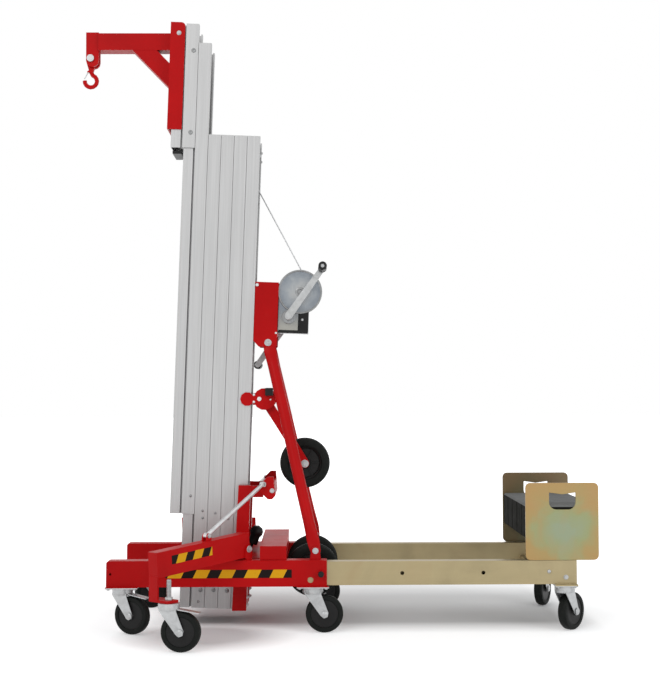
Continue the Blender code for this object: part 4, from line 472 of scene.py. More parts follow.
def material(name):
    """A finish by name, made when it is first asked for."""
    makers = {
        "red": red_powder_coat,
        "aluminium": anodised_extrusion,
        "zinc": lambda: zinc_plate("bright_zinc", 1.0),
        "white_zinc": lambda: zinc_plate("white_zinc", 1.5),
        "worn_zinc": lambda: zinc_plate("worn_zinc", 0.62),
        "dull_zinc": lambda: zinc_plate("dull_zinc", 0.42),
        "gold": yellow_zinc,
        "rubber": tyre_rubber,
        "plastic": moulded_plastic,
        "iron": black_iron,
        "near_plate": lambda: rainbow_zinc("near_weight_plate", (0.765, -0.265, 0.340), (0.43, 0.27, 0.10),
                                           (0.29, 0.335, 0.215), (0.43, 0.28, 0.14)),
        # The far plate's colours are the near plate's made darker: painted shade on its shadowed inner face.
        "far_plate_painted_shade": lambda: rainbow_zinc("far_weight_plate_painted_shade", (0.740, 0.265, 0.340), (0.17, 0.115, 0.055),
                                          (0.14, 0.135, 0.095), (0.19, 0.12, 0.075)),
        "cover": cover_zinc,
        "rope": lambda: wire_strands("wire_strands", (0, 0, 0)),
        "drum_rope": lambda: wire_strands("drum_strands", (0, 0, math.pi / 2)),
        "rail_tape": lambda: safety_tape("rail_tape", Matrix.Translation(TAPE_FIRST_YELLOW), 1,
                                         sizes().tape_pitch),
        "outrigger_tape_near": lambda: outrigger_tape("outrigger_tape_near", -1),
        "outrigger_tape_far": lambda: outrigger_tape("outrigger_tape_far", 1),
    }
    if name not in MATERIALS:
        MATERIALS[name] = makers[name]()
    return MATERIALS[name]


# Mesh work


def hand_over(name, work, finish, body, replaced=(), smooth=32):
    """Turn a bmesh into a piece that rides on a body."""
    mesh = bpy.data.meshes.new(name)
    work.to_mesh(mesh)
    work.free()
    mesh.shade_smooth()
    mesh.set_sharp_from_angle(angle=math.radians(smooth))
    mesh.materials.append(material(finish))
    piece = bpy.data.objects.new(name, mesh)
    bpy.context.scene.collection.objects.link(piece)
    flat = piece.modifiers.new("flat_faces", "WEIGHTED_NORMAL")
    flat.keep_sharp = True
    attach(piece, body)
    if replaced:
        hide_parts(*replaced)


def edges_of(verts):
    """The edges at some vertices, each once."""
    return list(dict.fromkeys(edge for vert in verts for edge in vert.link_edges))


def mirrored(half):
    """A wheel's whole profile from one side's points."""
    return half + [(at, -height) for at, height in reversed(half)]


def add_lathe(work, profile, place, sides):
    """Spin a profile of (radius, height) points round the z axis of a place."""
    points = [work.verts.new((radius, 0, height)) for radius, height in profile]
    edges = [work.edges.new(pair) for pair in zip(points, points[1:])]
    if profile[0][0] > 0:
        edges.append(work.edges.new((points[-1], points[0])))
    bmesh.ops.spin(work, geom=points + edges, cent=(0, 0, 0), axis=(0, 0, 1), dvec=(0, 0, 0),
                   angle=math.tau, steps=sides, use_merge=True, use_duplicate=False)
    anchor = points[1]
    bmesh.ops.remove_doubles(work, verts=connected(points), dist=SEAM)
    verts = connected([anchor])
    faces = list(dict.fromkeys(face for vert in verts for face in vert.link_faces))
    bmesh.ops.recalc_face_normals(work, faces=faces)
    bmesh.ops.transform(work, matrix=place, verts=verts)


def add_loft(work, rings):
    """Skin over elliptical rings of (place, half width, half depth), closed at both ends."""
    loops = []
    for place, width, depth in rings:
        verts = bmesh.ops.create_circle(work, cap_ends=False, radius=1.0, segments=LOFT_SIDES)["verts"]
        bmesh.ops.scale(work, vec=(width, depth, 1), verts=verts)
        bmesh.ops.transform(work, matrix=place, verts=verts)
        loops.append(edges_of(verts))
    for first, second in zip(loops, loops[1:]):
        bmesh.ops.bridge_loops(work, edges=first + second)
    for loop in (loops[0], loops[-1]):
        bmesh.ops.edgeloop_fill(work, edges=loop)
    bmesh.ops.recalc_face_normals(work, faces=work.faces)


def connected(verts):
    """Every vertex joined to the given ones."""
    found = dict.fromkeys(verts)
    stack = list(verts)
    while stack:
        for edge in stack.pop().link_edges:
            for vert in edge.verts:
                if vert not in found:
                    found[vert] = None
                    stack.append(vert)
    return list(found)


def add_block(work, size, place, edge=0.0, segments=2):
    """Add a box with rounded edges."""
    verts = bmesh.ops.create_cube(work, size=1.0)["verts"]
    bmesh.ops.scale(work, vec=size, verts=verts)
    if edge:
        made = bmesh.ops.bevel(work, geom=edges_of(verts), offset=edge, segments=segments, profile=0.5,
                               affect="EDGES", material=-1)
        verts = connected(made["verts"][:1])
    bmesh.ops.transform(work, matrix=place, verts=verts)


def add_hex_head(work, radius, height, place):
    """Hexagon head, its foot at the place and its top edges rounded."""
    verts = bmesh.ops.create_cone(work, cap_ends=True, segments=6, radius1=radius, radius2=radius,
                                  depth=height)["verts"]
    bmesh.ops.translate(work, vec=(0, 0, height / 2), verts=verts)
    top = [edge for edge in edges_of(verts) if all(vert.co.z > height * 0.9 for vert in edge.verts)]
    made = bmesh.ops.bevel(work, geom=top, offset=radius * 0.10, segments=2, profile=0.5, affect="EDGES",
                           material=-1)
    bmesh.ops.transform(work, matrix=place, verts=connected(made["verts"][:1]))


def facing(point, direction):
    """A place at a point with its z axis along a direction."""
    turn = Vector(direction).to_track_quat("Z", "X").to_matrix().to_4x4()
    return Matrix.Translation(point) @ turn


def add_hex_bolt(work, point, direction, radius):
    """Washer and hexagon head."""
    place = facing(point, direction)
    thick = radius * 0.24
    add_lathe(work, [(0, 0), (radius * 1.35, 0), (radius * 1.35, radius * 0.16), (radius * 1.25, thick),
                     (0, thick)], place, 24)
    add_hex_head(work, radius, radius * 0.62, place @ Matrix.Translation((0, 0, thick)))


def add_nut_on_stud(work, point, direction, radius):
    """Hexagon nut with the end of its stud."""
    add_hex_bolt(work, point, direction, radius)
    place = facing(point, direction) @ Matrix.Translation((0, 0, radius * 0.8))
    stud = radius * 0.52
    end = radius * 0.55
    add_lathe(work, [(0, 0), (stud, 0), (stud, radius * 0.42), (stud * 0.8, end), (0, end)], place, 16)


def add_button_screw(work, point, direction, radius):
    """Domed screw head with a hexagon socket."""
    place = facing(point, direction)
    dome = ((0, 0), (1, 0), (0.94, 0.24), (0.70, 0.50), (0.32, 0.62), (0.30, 0.30), (0, 0.30))
    add_lathe(work, [(radius * at, radius * height) for at, height in dome], place, 20)


def add_pair(work, add, place, radius):
    """The same fastener on both sides, facing outwards."""
    x, y, z = place
    for hand in (-1, 1):
        add(work, (x, hand * y, z), (0, hand, 0), radius)


def add_dome(work, point, direction, radius):
    """Smooth low dome on a flat ring."""
    dome = ((0, 0), (1, 0), (1, 0.06), (0.78, 0.09), (0.70, 0.16), (0.50, 0.22), (0.25, 0.25), (0, 0.26))
    add_lathe(work, [(radius * at, radius * height) for at, height in dome], facing(point, direction), 28)


def softened(node, finish, width, sharpest=30):
    """A copy of a node with its edges rounded, which stands for the node."""
    work = bmesh.new()
    work.from_mesh(frame["nodes"][node].data)
    bmesh.ops.remove_doubles(work, verts=work.verts, dist=DOUBLES)
    bmesh.ops.dissolve_limit(work, angle_limit=FLAT_ANGLE, verts=work.verts, edges=work.edges)
    edges = []
    for edge in work.edges:
        if len(edge.link_faces) == 2 and edge.calc_face_angle(0) > math.radians(sharpest):
            edges.append(edge)
    bmesh.ops.bevel(work, geom=edges, offset=width, segments=2, profile=0.5, affect="EDGES",
                    material=-1, clamp_overlap=True)
    hand_over(node + "_finished", work, finish, BODY_OF[node], (node,))


def outrigger_place(side, x, y, z, sloped=True):
    """A place in an outrigger's own frame: x out along the beam, y towards the rear, z up."""
    pivot = PIVOTS["outrigger_fold_near" if side < 0 else "outrigger_fold_far"]
    out = Vector((-math.cos(OUTRIGGER_TURN), side * math.sin(OUTRIGGER_TURN), 0))
    aside = Vector((side * out.y, -side * out.x, 0))
    place = Matrix.Identity(4)
    place.col[0] = (*out, 0)
    place.col[1] = (*aside, 0)
    place.col[3] = (*pivot, 1)
    if sloped:
        place = place @ Matrix.Rotation(BEAM_DROP, 4, "Y")
    return place @ Matrix.Translation((x, y, z))


# Operators


class StackerOperator:
    """What the stacker's operators share."""

    bl_options = {"REGISTER", "UNDO"}

    def execute(self, context):
        self.make()
        return {"FINISHED"}


class STACKER_OT_weldments(StackerOperator, bpy.types.Operator):
    """Powder-coated base rails, mast mount, boom, brackets, arms and outriggers"""

    bl_idname = "stacker.weldments"
    bl_label = "Red weldments"

    nodes = ("base_rail_near", "base_rail_far", "mast_mount", "boom_frame", "winch_bracket",
             "wheel_bracket", "wheel_arm", "outrigger_near", "outrigger_far")

    def make(self):
        for node in self.nodes:
            softened(node, "red", sizes().edge)


class STACKER_OT_mast(StackerOperator, bpy.types.Operator):
    """Extruded mast stages and carriage, their screws and the rope roller housing"""

    bl_idname = "stacker.mast"
    bl_label = "Mast"

    screws = {
        "stage_2": ((-0.3639, 0.1130, 0.0075), (-0.3593, 0.3586, 0.0045)),
        "stage_3": ((-0.4099, 0.1157, 0.0075), (-0.4037, 0.3777, 0.0045)),
        "stage_4": ((-0.4545, 0.1157, 0.0075), (-0.4619, 0.0762, 0.0050), (-0.4474, 0.3858, 0.0045),
                    (-0.4473, 0.3614, 0.0045)),
        "stage_5": ((-0.4882, 0.4372, 0.0050),),
        "carriage": ((-0.4785, 1.9794, 0.0078), (-0.4891, 1.6932, 0.0078)),
    }
    housing = (0.026, 0.110, 0.018)
    housing_back = -0.024
    housing_drop = 0.010
    bolt_y = 0.070
    bolt_drops = (0.034, 0.066)
    bolt_radius = 0.0045

    def make(self):
        for number in range(1, 6):
            softened(f"mast_stage_{number}", "aluminium", sizes().fine_edge)
        softened("carriage", "aluminium", sizes().fine_edge)
        for body, places in self.screws.items():
            work = bmesh.new()
            for x, z, radius in places:
                add_pair(work, add_button_screw, (x, STAGE_HALF_WIDTH, z), radius)
            hand_over(f"{body}_screws", work, "worn_zinc", body)
        self.top_fittings()

    def top_fittings(self):
        """Rope roller housing at the top of the rear stage, and the bolts at its back."""
        work = bmesh.new()
        place = MAST @ Matrix.Translation((self.housing_back, 0, STAGE_LENGTH - self.housing_drop))
        add_block(work, self.housing, place, 0.002)
        for hand in (-1, 1):
            for drop in self.bolt_drops:
                point = MAST @ Vector((0, hand * self.bolt_y, STAGE_LENGTH - drop))
                add_hex_bolt(work, point, MAST.to_3x3() @ Vector((1, 0, 0)), self.bolt_radius)
        hand_over("stage_1_top_fittings", work, "zinc", "chassis")


class STACKER_OT_casters(StackerOperator, bpy.types.Operator):
    """Casters: tyres, cores, forks, swivel races and mounting plates"""

    bl_idname = "stacker.casters"
    bl_label = "Casters"

    race_z = 0.1285
    axle_end = 0.0252
    plate_z = 0.1519
    plate_width = 0.0858
    plate_thick = 0.0040
    plate_length = 0.1058
    rear_plate_length = 0.0742
    bolt_inset = 0.0095
    bolt_z = 0.1500

    def make(self):
        for name in CASTERS:
            hub = PIVOTS[f"spin_{name}"]
            swivel = PIVOTS[f"swivel_{name}"]
            trail = Vector((hub.x - swivel.x, hub.y - swivel.y, 0)).normalized()
            axle = Vector((-trail.y, trail.x, 0))
            self.wheel(name, facing(hub, axle))
            softened(f"caster_fork_{name}", "zinc", 0.0007, sharpest=35)
            self.fittings(name, swivel, hub, axle, trail)

    def wheel(self, name, place):
        """Tyre and moulded core."""
        radius = sizes().tyre_radius
        half = [(radius * 0.72, 0.0128), (radius * 0.75, 0.0152), (radius * 0.84, 0.0160),
                (radius * 0.94, 0.0148), (radius * 0.985, 0.0110), (radius, 0.0050)]
        work = bmesh.new()
        add_lathe(work, mirrored(half), place, sizes().wheel_sides)
        hand_over(f"caster_tyre_{name}", work, "rubber", f"wheel_{name}",
                  (f"caster_wheel_{name}",))
        half = [(0.0054, 0.0172), (0.0120, 0.0172), (0.0132, 0.0164), (0.0160, 0.0138), (0.0360, 0.0126),
                (0.0400, 0.0134), (radius * 0.725, 0.0124)]
        work = bmesh.new()
        add_lathe(work, mirrored(half), place, 48)
        hand_over(f"caster_core_{name}", work, "plastic", f"wheel_{name}",
                  (f"caster_wheel_{name}",))

    def fittings(self, name, swivel, hub, axle, trail):
        """Swivel race, axle ends and the plate above."""
        body = f"fork_{name}"
        work = bmesh.new()
        race = Matrix.Translation((swivel.x, swivel.y, self.race_z))
        add_lathe(work, [(0.020, 0.0205), (0.0315, 0.0205), (0.0334, 0.0180), (0.0334, 0.0150),
                         (0.0310, 0.0125), (0.0334, 0.0100), (0.0334, 0.0040), (0.0314, 0.0), (0.020, 0.0)],
                  race, 40)
        for hand in (-1, 1):
            add_dome(work, hub + axle * hand * self.axle_end, axle * hand, 0.0115)
        hand_over(f"caster_race_{name}", work, "zinc", body)
        if name.startswith("outrigger"):
            return
        joints = frame["record"]["behaviour"]["joints"]
        parent = next(joint["parent"] for joint in joints if joint["name"] == f"swivel_{name}")
        work = bmesh.new()
        length = self.rear_plate_length if name.startswith("rear") else self.plate_length
        place = Matrix.Translation((swivel.x, swivel.y, self.plate_z))
        add_block(work, (length, self.plate_width, self.plate_thick), place, 0.0008)
        for x in (-1, 1):
            for y in (-0.032, 0.032):
                bolt = (swivel.x + x * (length / 2 - self.bolt_inset), swivel.y + y, self.bolt_z)
                add_hex_bolt(work, bolt, (0, 0, -1), 0.0052)
        hand_over(f"caster_plate_{name}", work, "zinc", parent)


class STACKER_OT_wheels(StackerOperator, bpy.types.Operator):
    """Transport wheels behind the mast and the loading wheel on its arm"""

    bl_idname = "stacker.wheels"
    bl_label = "Large wheels"

    spokes = 6
    spoke_width = 0.0050

    def make(self):
        softened("rear_axle", "zinc", sizes().fine_edge)
        for name, _hand in HANDS:
            self.wheel(f"rear_wheel_{name}", f"transport_wheel_{name}", PIVOTS[f"transport_spin_{name}"],
                       0.0895, 0.0180, 0.0104, 0.0220)
        self.wheel("loading_wheel", "loading_wheel", PIVOTS["loading_wheel_spin"],
                   0.0870, 0.0198, 0.0084, 0.0205)
        work = bmesh.new()
        wheel = PIVOTS["loading_wheel_spin"]
        add_nut_on_stud(work, (wheel.x, 0.0258, wheel.z), (0, 1, 0), 0.0100)
        add_hex_bolt(work, (wheel.x, -0.0690, wheel.z), (0, -1, 0), 0.0100)
        hand_over("loading_axle_bolts", work, "zinc", "loading_arm")

    def wheel(self, node, body, centre, radius, half_width, bore, hub_half):
        """Ribbed tyre, and a dished core with spokes."""
        place = facing(centre, (0, 1, 0))
        rim = radius * 0.66
        half = [(rim, half_width * 0.74), (rim * 1.03, half_width * 0.92), (radius * 0.78, half_width),
                (radius * 0.90, half_width * 0.97), (radius * 0.955, half_width * 0.84),
                (radius * 0.985, half_width * 0.60), (radius * 0.985, half_width * 0.50),
                (radius, half_width * 0.46), (radius, half_width * 0.14), (radius * 0.985, half_width * 0.10)]
        work = bmesh.new()
        add_lathe(work, mirrored(half), place, sizes().wheel_sides)
        hand_over(f"{node}_tyre", work, "rubber", body, (node,))
        web = half_width * 0.30
        half = [(bore, hub_half), (bore + 0.0095, hub_half), (bore + 0.0115, hub_half - 0.002),
                (bore + 0.0130, web + 0.001), (rim * 0.86, web), (rim * 0.92, half_width * 0.66),
                (rim * 0.985, half_width * 0.74), (rim * 1.01, half_width * 0.70)]
        work = bmesh.new()
        add_lathe(work, mirrored(half), place, 56)
        start = bore + 0.012
        run = rim * 0.90 - start
        for i in range(self.spokes):
            spoke = place @ Matrix.Rotation((i + 0.5) * math.tau / self.spokes, 4, "Z")
            spoke = spoke @ Matrix.Translation((start + run / 2, 0, 0))
            add_block(work, (run, self.spoke_width, half_width * 1.05), spoke, 0.0010)
        hand_over(f"{node}_core", work, "plastic", body, (node,))


class STACKER_OT_struts(StackerOperator, bpy.types.Operator):
    """Round struts pressed flat at both ends, with their bolts"""

    bl_idname = "stacker.struts"
    bl_label = "Struts"

    radius = 0.0192
    stations = ((-0.0175, 0.30, 0.0035), (-0.0140, 0.62, 0.0035), (-0.006, 0.86, 0.0035),
                (0.020, 1.04, 0.0035), (0.034, 1.08, 0.0042), (0.050, 1.07, 0.0085),
                (0.070, 1.03, 0.0145), (0.092, 1.0, 0.018))
    top_pin = (-0.2219, 0.0707, 0.9664)
    foot_pin = (-0.0604, RAIL_Y, 0.2690)

    def make(self):
        for name, hand in HANDS:
            top, foot = (Vector((x, hand * y, z)) for x, y, z in (self.top_pin, self.foot_pin))
            run = foot - top
            length = run.length
            along = run.normalized()
            wide = Vector((along.z, 0, -along.x)).normalized()
            thin = wide.cross(along)
            turn = Matrix((wide, thin, along)).transposed().to_4x4()
            rings = list(self.stations)
            rings += [(length - at, width, depth) for at, width, depth in reversed(self.stations)]
            work = bmesh.new()
            add_loft(work, [(Matrix.Translation(top + along * at) @ turn, self.radius * width, depth)
                            for at, width, depth in rings])
            hand_over(f"strut_tube_{name}", work, "red", "chassis", (f"strut_{name}",), 50)
            work = bmesh.new()
            add_nut_on_stud(work, (top.x, hand * BRACKET_HALF_WIDTH, top.z - 0.003), (0, hand, 0), 0.0092)
            add_nut_on_stud(work, (foot.x, hand * 0.2610, foot.z), (0, hand, 0), 0.0076)
            add_hex_bolt(work, (foot.x, hand * 0.2390, foot.z), (0, -hand, 0), 0.0090)
            hand_over(f"strut_bolts_{name}", work, "zinc", "chassis")


class STACKER_OT_extension(StackerOperator, bpy.types.Operator):
    """Yellow-plated extension rails, their bolts and the lock pins"""

    bl_idname = "stacker.extension"
    bl_label = "Extension"

    outer_y = 0.2708

    def make(self):
        for name, hand in HANDS:
            softened(f"extension_rail_{name}", "gold", sizes().edge)
            softened(f"lock_pin_{name}", "plastic", 0.0006)
            work = bmesh.new()
            add_button_screw(work, (0.711, hand * self.outer_y, 0.1990), (0, hand, 0), 0.0068)
            add_hex_bolt(work, (0.7665, hand * self.outer_y, 0.1800), (0, hand, 0), 0.0062)
            hand_over(f"extension_bolts_{name}", work, "zinc", "extension")


class STACKER_OT_counterweight(StackerOperator, bpy.types.Operator):
    """Plated end plates and the black weight stack between them"""

    bl_idname = "stacker.counterweight"
    bl_label = "Counterweight"

    def make(self):
        softened("weight_plate_near", "near_plate", sizes().edge)
        # The far plate's darker colours are painted shade.
        softened("weight_plate_far", "far_plate_painted_shade", sizes().edge)
        softened("weight_stack", "iron", 0.0015)


class STACKER_OT_winch(StackerOperator, bpy.types.Operator):
    """Winch frame, drum with its turns of rope, gear cover, crank arms and grips"""

    bl_idname = "stacker.winch"
    bl_label = "Winch"

    housing = (0.034, 0.016, 0.070)
    housing_centre = (-0.0995, -0.0600, 1.0330)
    strip = (0.102, 0.0155, 0.0104)
    strip_centre = (-0.1359, -0.0608, 1.0011)
    barrel_radius = 0.0389
    turns = 17
    turn_pitch = 2.08
    strand_sides = 8
    grooves = 4
    groove_start = -0.038
    groove_pitch = 0.020

    def make(self):
        for node, finish in (("winch_frame", "dull_zinc"), ("gear_cover", "cover"), ("crank_shaft", "zinc"),
                             ("crank_arm_near", "zinc"), ("crank_arm_far", "zinc")):
            softened(node, finish, sizes().fine_edge)
        softened("cable_drum", "zinc", 0.0003)
        self.cover_disc()
        self.ratchet()
        self.bracket_bolts()
        self.rope_on_drum()
        for name, hand in HANDS:
            self.grip(name, hand)

    def cover_disc(self):
        """Rolled rim and bearing cap of the gear cover."""
        drum = PIVOTS["drum_spin"]
        place = facing((drum.x, -0.0662, drum.z), (0, -1, 0))
        work = bmesh.new()
        add_lathe(work, [(0.0700, 0.0), (0.0700, 0.0010), (0.0730, 0.0030), (0.0755, 0.0030),
                         (0.0768, 0.0012), (0.0768, -0.0060), (0.0750, -0.0060)], place, 80)
        add_lathe(work, [(0, 0), (0.0170, 0), (0.0170, 0.0022), (0.0150, 0.0036), (0.0100, 0.0040),
                         (0.0085, 0.0016), (0, 0.0016)], place, 40)
        hand_over("gear_cover_rim", work, "worn_zinc", "chassis")

    def ratchet(self):
        """Friction disc and hub on the crank shaft, the black pawl housing and its screw."""
        crank = PIVOTS["crank_spin"]
        place = facing((crank.x, -0.0690, crank.z), (0, -1, 0))
        work = bmesh.new()
        add_lathe(work, [(0.0062, 0), (0.0240, 0), (0.0240, 0.0060), (0.0225, 0.0072), (0.0130, 0.0075),
                         (0.0130, 0.0350), (0.0110, 0.0370), (0.0062, 0.0370)], place, 40)
        hand_over("brake_hub", work, "worn_zinc", "crank")
        work = bmesh.new()
        for size, centre, edge in ((self.housing, self.housing_centre, 0.002),
                                   (self.strip, self.strip_centre, 0.001)):
            add_block(work, size, Matrix.Translation(centre) @ Matrix.Rotation(MAST_LEAN, 4, "Y"), edge)
        hand_over("pawl_housing", work, "plastic", "chassis")
        work = bmesh.new()
        add_button_screw(work, (-0.1035, -0.0680, 1.0426), (0, -1, 0), 0.0046)
        hand_over("winch_screws", work, "zinc", "chassis")

    def bracket_bolts(self):
        """Bolts of the bracket's side plates."""
        work = bmesh.new()
        add_pair(work, add_button_screw, (-0.2594, BRACKET_HALF_WIDTH, 1.1633), 0.0065)
        add_pair(work, add_button_screw, (-0.1945, BRACKET_HALF_WIDTH, 0.9965), 0.0042)
        hand_over("bracket_bolts", work, "white_zinc", "chassis")

    def rope_on_drum(self):
        """Turns of rope wound side by side on the drum, with a gap in the middle."""
        drum = PIVOTS["drum_spin"]
        radius = sizes().rope_radius
        work = bmesh.new()
        ring = []
        for i in range(self.strand_sides):
            angle = i * math.tau / self.strand_sides
            ring.append((self.barrel_radius + radius + math.cos(angle) * radius, math.sin(angle) * radius))
        for i in range(self.turns):
            at = (i - (self.turns - 1) / 2) * radius * self.turn_pitch
            if abs(at) >= radius:
                add_lathe(work, ring, facing((drum.x, at, drum.z), (0, 1, 0)), 36)
        hand_over("rope_turns", work, "drum_rope", "drum")

    def grip(self, name, hand):
        """Turned grip with finger grooves and an end cap."""
        centre = PIVOTS[f"grip_spin_{name}"]
        place = facing(centre, (0, hand, 0))
        profile = [(0.0054, -0.0498), (0.0135, -0.0498), (0.0148, -0.0470), (0.0148, -0.0420)]
        for i in range(self.grooves):
            start = self.groove_start + i * self.groove_pitch
            profile += [(0.0128, start), (0.0142, start + self.groove_pitch / 2)]
        profile += [(0.0132, 0.0440), (0.0122, 0.0490), (0.0054, 0.0498)]
        work = bmesh.new()
        add_lathe(work, profile, place, 40)
        add_lathe(work, [(0.0062, 0.0535), (0.0143, 0.0535), (0.0143, 0.0565), (0.0128, 0.0582),
                         (0.0080, 0.0582), (0.0062, 0.0568)], place, 40)
        hand_over(f"crank_grip_sleeve_{name}", work, "plastic", f"grip_{name}",
                  (f"crank_grip_{name}",), 50)


class STACKER_OT_rope(StackerOperator, bpy.types.Operator):
    """Wire rope and its head sheave"""

    bl_idname = "stacker.rope"
    bl_label = "Rope"

    def make(self):
        softened("head_sheave", "zinc", 0.0003)
        node = frame["nodes"]["wire_rope"]
        node.data.materials.clear()
        node.data.materials.append(material("rope"))


class STACKER_OT_hook(StackerOperator, bpy.types.Operator):
    """Forged hook, its pin and latch, the boom bolts and the carriage sliders"""

    bl_idname = "stacker.hook"
    bl_label = "Hook"

    def make(self):
        softened("load_hook", "red", 0.0005, sharpest=45)
        softened("hook_pin", "zinc", sizes().fine_edge)
        softened("hook_latch", "zinc", 0.0002)
        pin = PIVOTS["hook_swing"]
        work = bmesh.new()
        add_nut_on_stud(work, (pin.x, 0.0282, pin.z), (0, 1, 0), 0.0090)
        hand_over("hook_pin_nut", work, "zinc", "carriage")
        work = bmesh.new()
        add_pair(work, add_hex_bolt, (-0.5293, 0.0808, 2.0415), 0.0060)
        hand_over("boom_bolts", work, "zinc", "carriage")
        work = bmesh.new()
        add_block(work, (0.0305, 0.130, 0.0110), Matrix.Translation((-0.5382, 0, 1.6270)), 0.0015)
        hand_over("carriage_sliders", work, "plastic", "carriage")


class STACKER_OT_outriggers(StackerOperator, bpy.types.Operator):
    """Brace rods, levelling threads, lug bolts and pivot bolts of the outriggers"""

    bl_idname = "stacker.outriggers"
    bl_label = "Outrigger fittings"

    lug_out = 0.170
    lug_half = 0.0118
    lug_up = 0.057
    pivot_half = 0.0266
    thread_z = 0.1690
    turns = 22
    pitch = 0.0023

    def make(self):
        for name, hand in HANDS:
            body = f"outrigger_{name}"
            softened(f"brace_rod_{name}", "white_zinc", 0.0003)
            work = bmesh.new()
            for side in (-1, 1):
                lug = outrigger_place(hand, self.lug_out, side * self.lug_half, self.lug_up, sloped=False)
                direction = lug.to_3x3() @ Vector((0, side, 0))
                add_hex_bolt(work, lug.translation, direction, 0.0055)
            hand_over(f"lug_bolts_{name}", work, "zinc", body)
            work = bmesh.new()
            for side in (-1, 1):
                pivot = outrigger_place(hand, 0, side * self.pivot_half, 0, sloped=False)
                direction = pivot.to_3x3() @ Vector((0, side, 0))
                add_nut_on_stud(work, pivot.translation, direction, 0.0084)
            add_hex_bolt(work, (-0.2059, hand * 0.1660, 0.4600), (0, hand, 0), 0.0060)
            hand_over(f"pivot_bolts_{name}", work, "zinc", "chassis")
            self.thread(name, PIVOTS[f"swivel_outrigger_{name}"])

    def thread(self, name, swivel):
        """Thread of the levelling screw."""
        work = bmesh.new()
        profile = [(0.0066, 0.0)]
        for i in range(self.turns):
            start = i * self.pitch
            profile += [(0.0078, start + 0.0008), (0.0070, start + 0.0019)]
        profile += [(0.0066, self.turns * self.pitch + 0.001)]
        add_lathe(work, profile, Matrix.Translation((swivel.x, swivel.y, self.thread_z)), 24)
        hand_over(f"levelling_thread_{name}", work, "zinc", f"fork_outrigger_{name}")


class STACKER_OT_fasteners(StackerOperator, bpy.types.Operator):
    """Bolts of the mast mount and the wheel bracket, caps, index pad and mast lock grip"""

    bl_idname = "stacker.fasteners"
    bl_label = "Mount fasteners"

    bracket_y = 0.0878
    bracket_screws = ((-0.2700, 0.7835, 0.0050), (-0.2705, 0.7589, 0.0050), (-0.2133, 0.7671, 0.0036))
    foot_nuts = ((-0.2955, 0.0945), (-0.2958, 0.0677))
    foot_nut_y = 0.0990

    def make(self):
        work = bmesh.new()
        for x, z, radius in self.bracket_screws:
            add_pair(work, add_button_screw, (x, self.bracket_y, z), radius)
        add_pair(work, add_nut_on_stud, (-0.2517, self.bracket_y, 0.7691), 0.0056)
        for hand in (-1, 1):
            for x, z in self.foot_nuts:
                add_nut_on_stud(work, (x, hand * self.foot_nut_y, z), (1, 0, 0), 0.0062)
        hand_over("mount_bolts", work, "white_zinc", "chassis")
        work = bmesh.new()
        for hand in (-1, 1):
            cap = Matrix.Translation((-0.2000, hand * 0.2628, 0.2628))
            add_block(work, (0.0876, 0.0016, 0.0446), cap, 0.0005)
        hand_over("cross_member_caps", work, "red", "chassis")
        work = bmesh.new()
        add_block(work, (0.0274, 0.0170, 0.0270), Matrix.Translation((-0.2178, -0.0963, 0.7935)), 0.0030)
        hand_over("index_pad", work, "plastic", "chassis")
        softened("foot_grip", "plastic", 0.0006)


class STACKER_OT_tape(StackerOperator, bpy.types.Operator):
    """Black and yellow safety tape on the rails and the outriggers"""

    bl_idname = "stacker.tape"
    bl_label = "Safety tape"

    start_x = -0.5534
    end_x = -0.1384
    middle_z = 0.1965
    outrigger_length = 0.177

    def make(self):
        height = sizes().tape_height
        for name, hand in HANDS:
            work = bmesh.new()
            centre = ((self.start_x + self.end_x) / 2, hand * (RAIL_OUTER_Y + 0.0001), self.middle_z)
            size = (self.end_x - self.start_x, FILM, height)
            add_block(work, size, Matrix.Translation(centre), 0.0002, 1)
            hand_over(f"rail_tape_{name}", work, "rail_tape", "chassis")
            work = bmesh.new()
            place = outrigger_place(hand, 0.2515, 0.0201, TAPE_OUTRIGGER_Z)
            add_block(work, (self.outrigger_length, FILM, height), place, 0.0002, 1)
            tape = f"outrigger_tape_{name}"
            hand_over(tape, work, tape, f"outrigger_{name}")


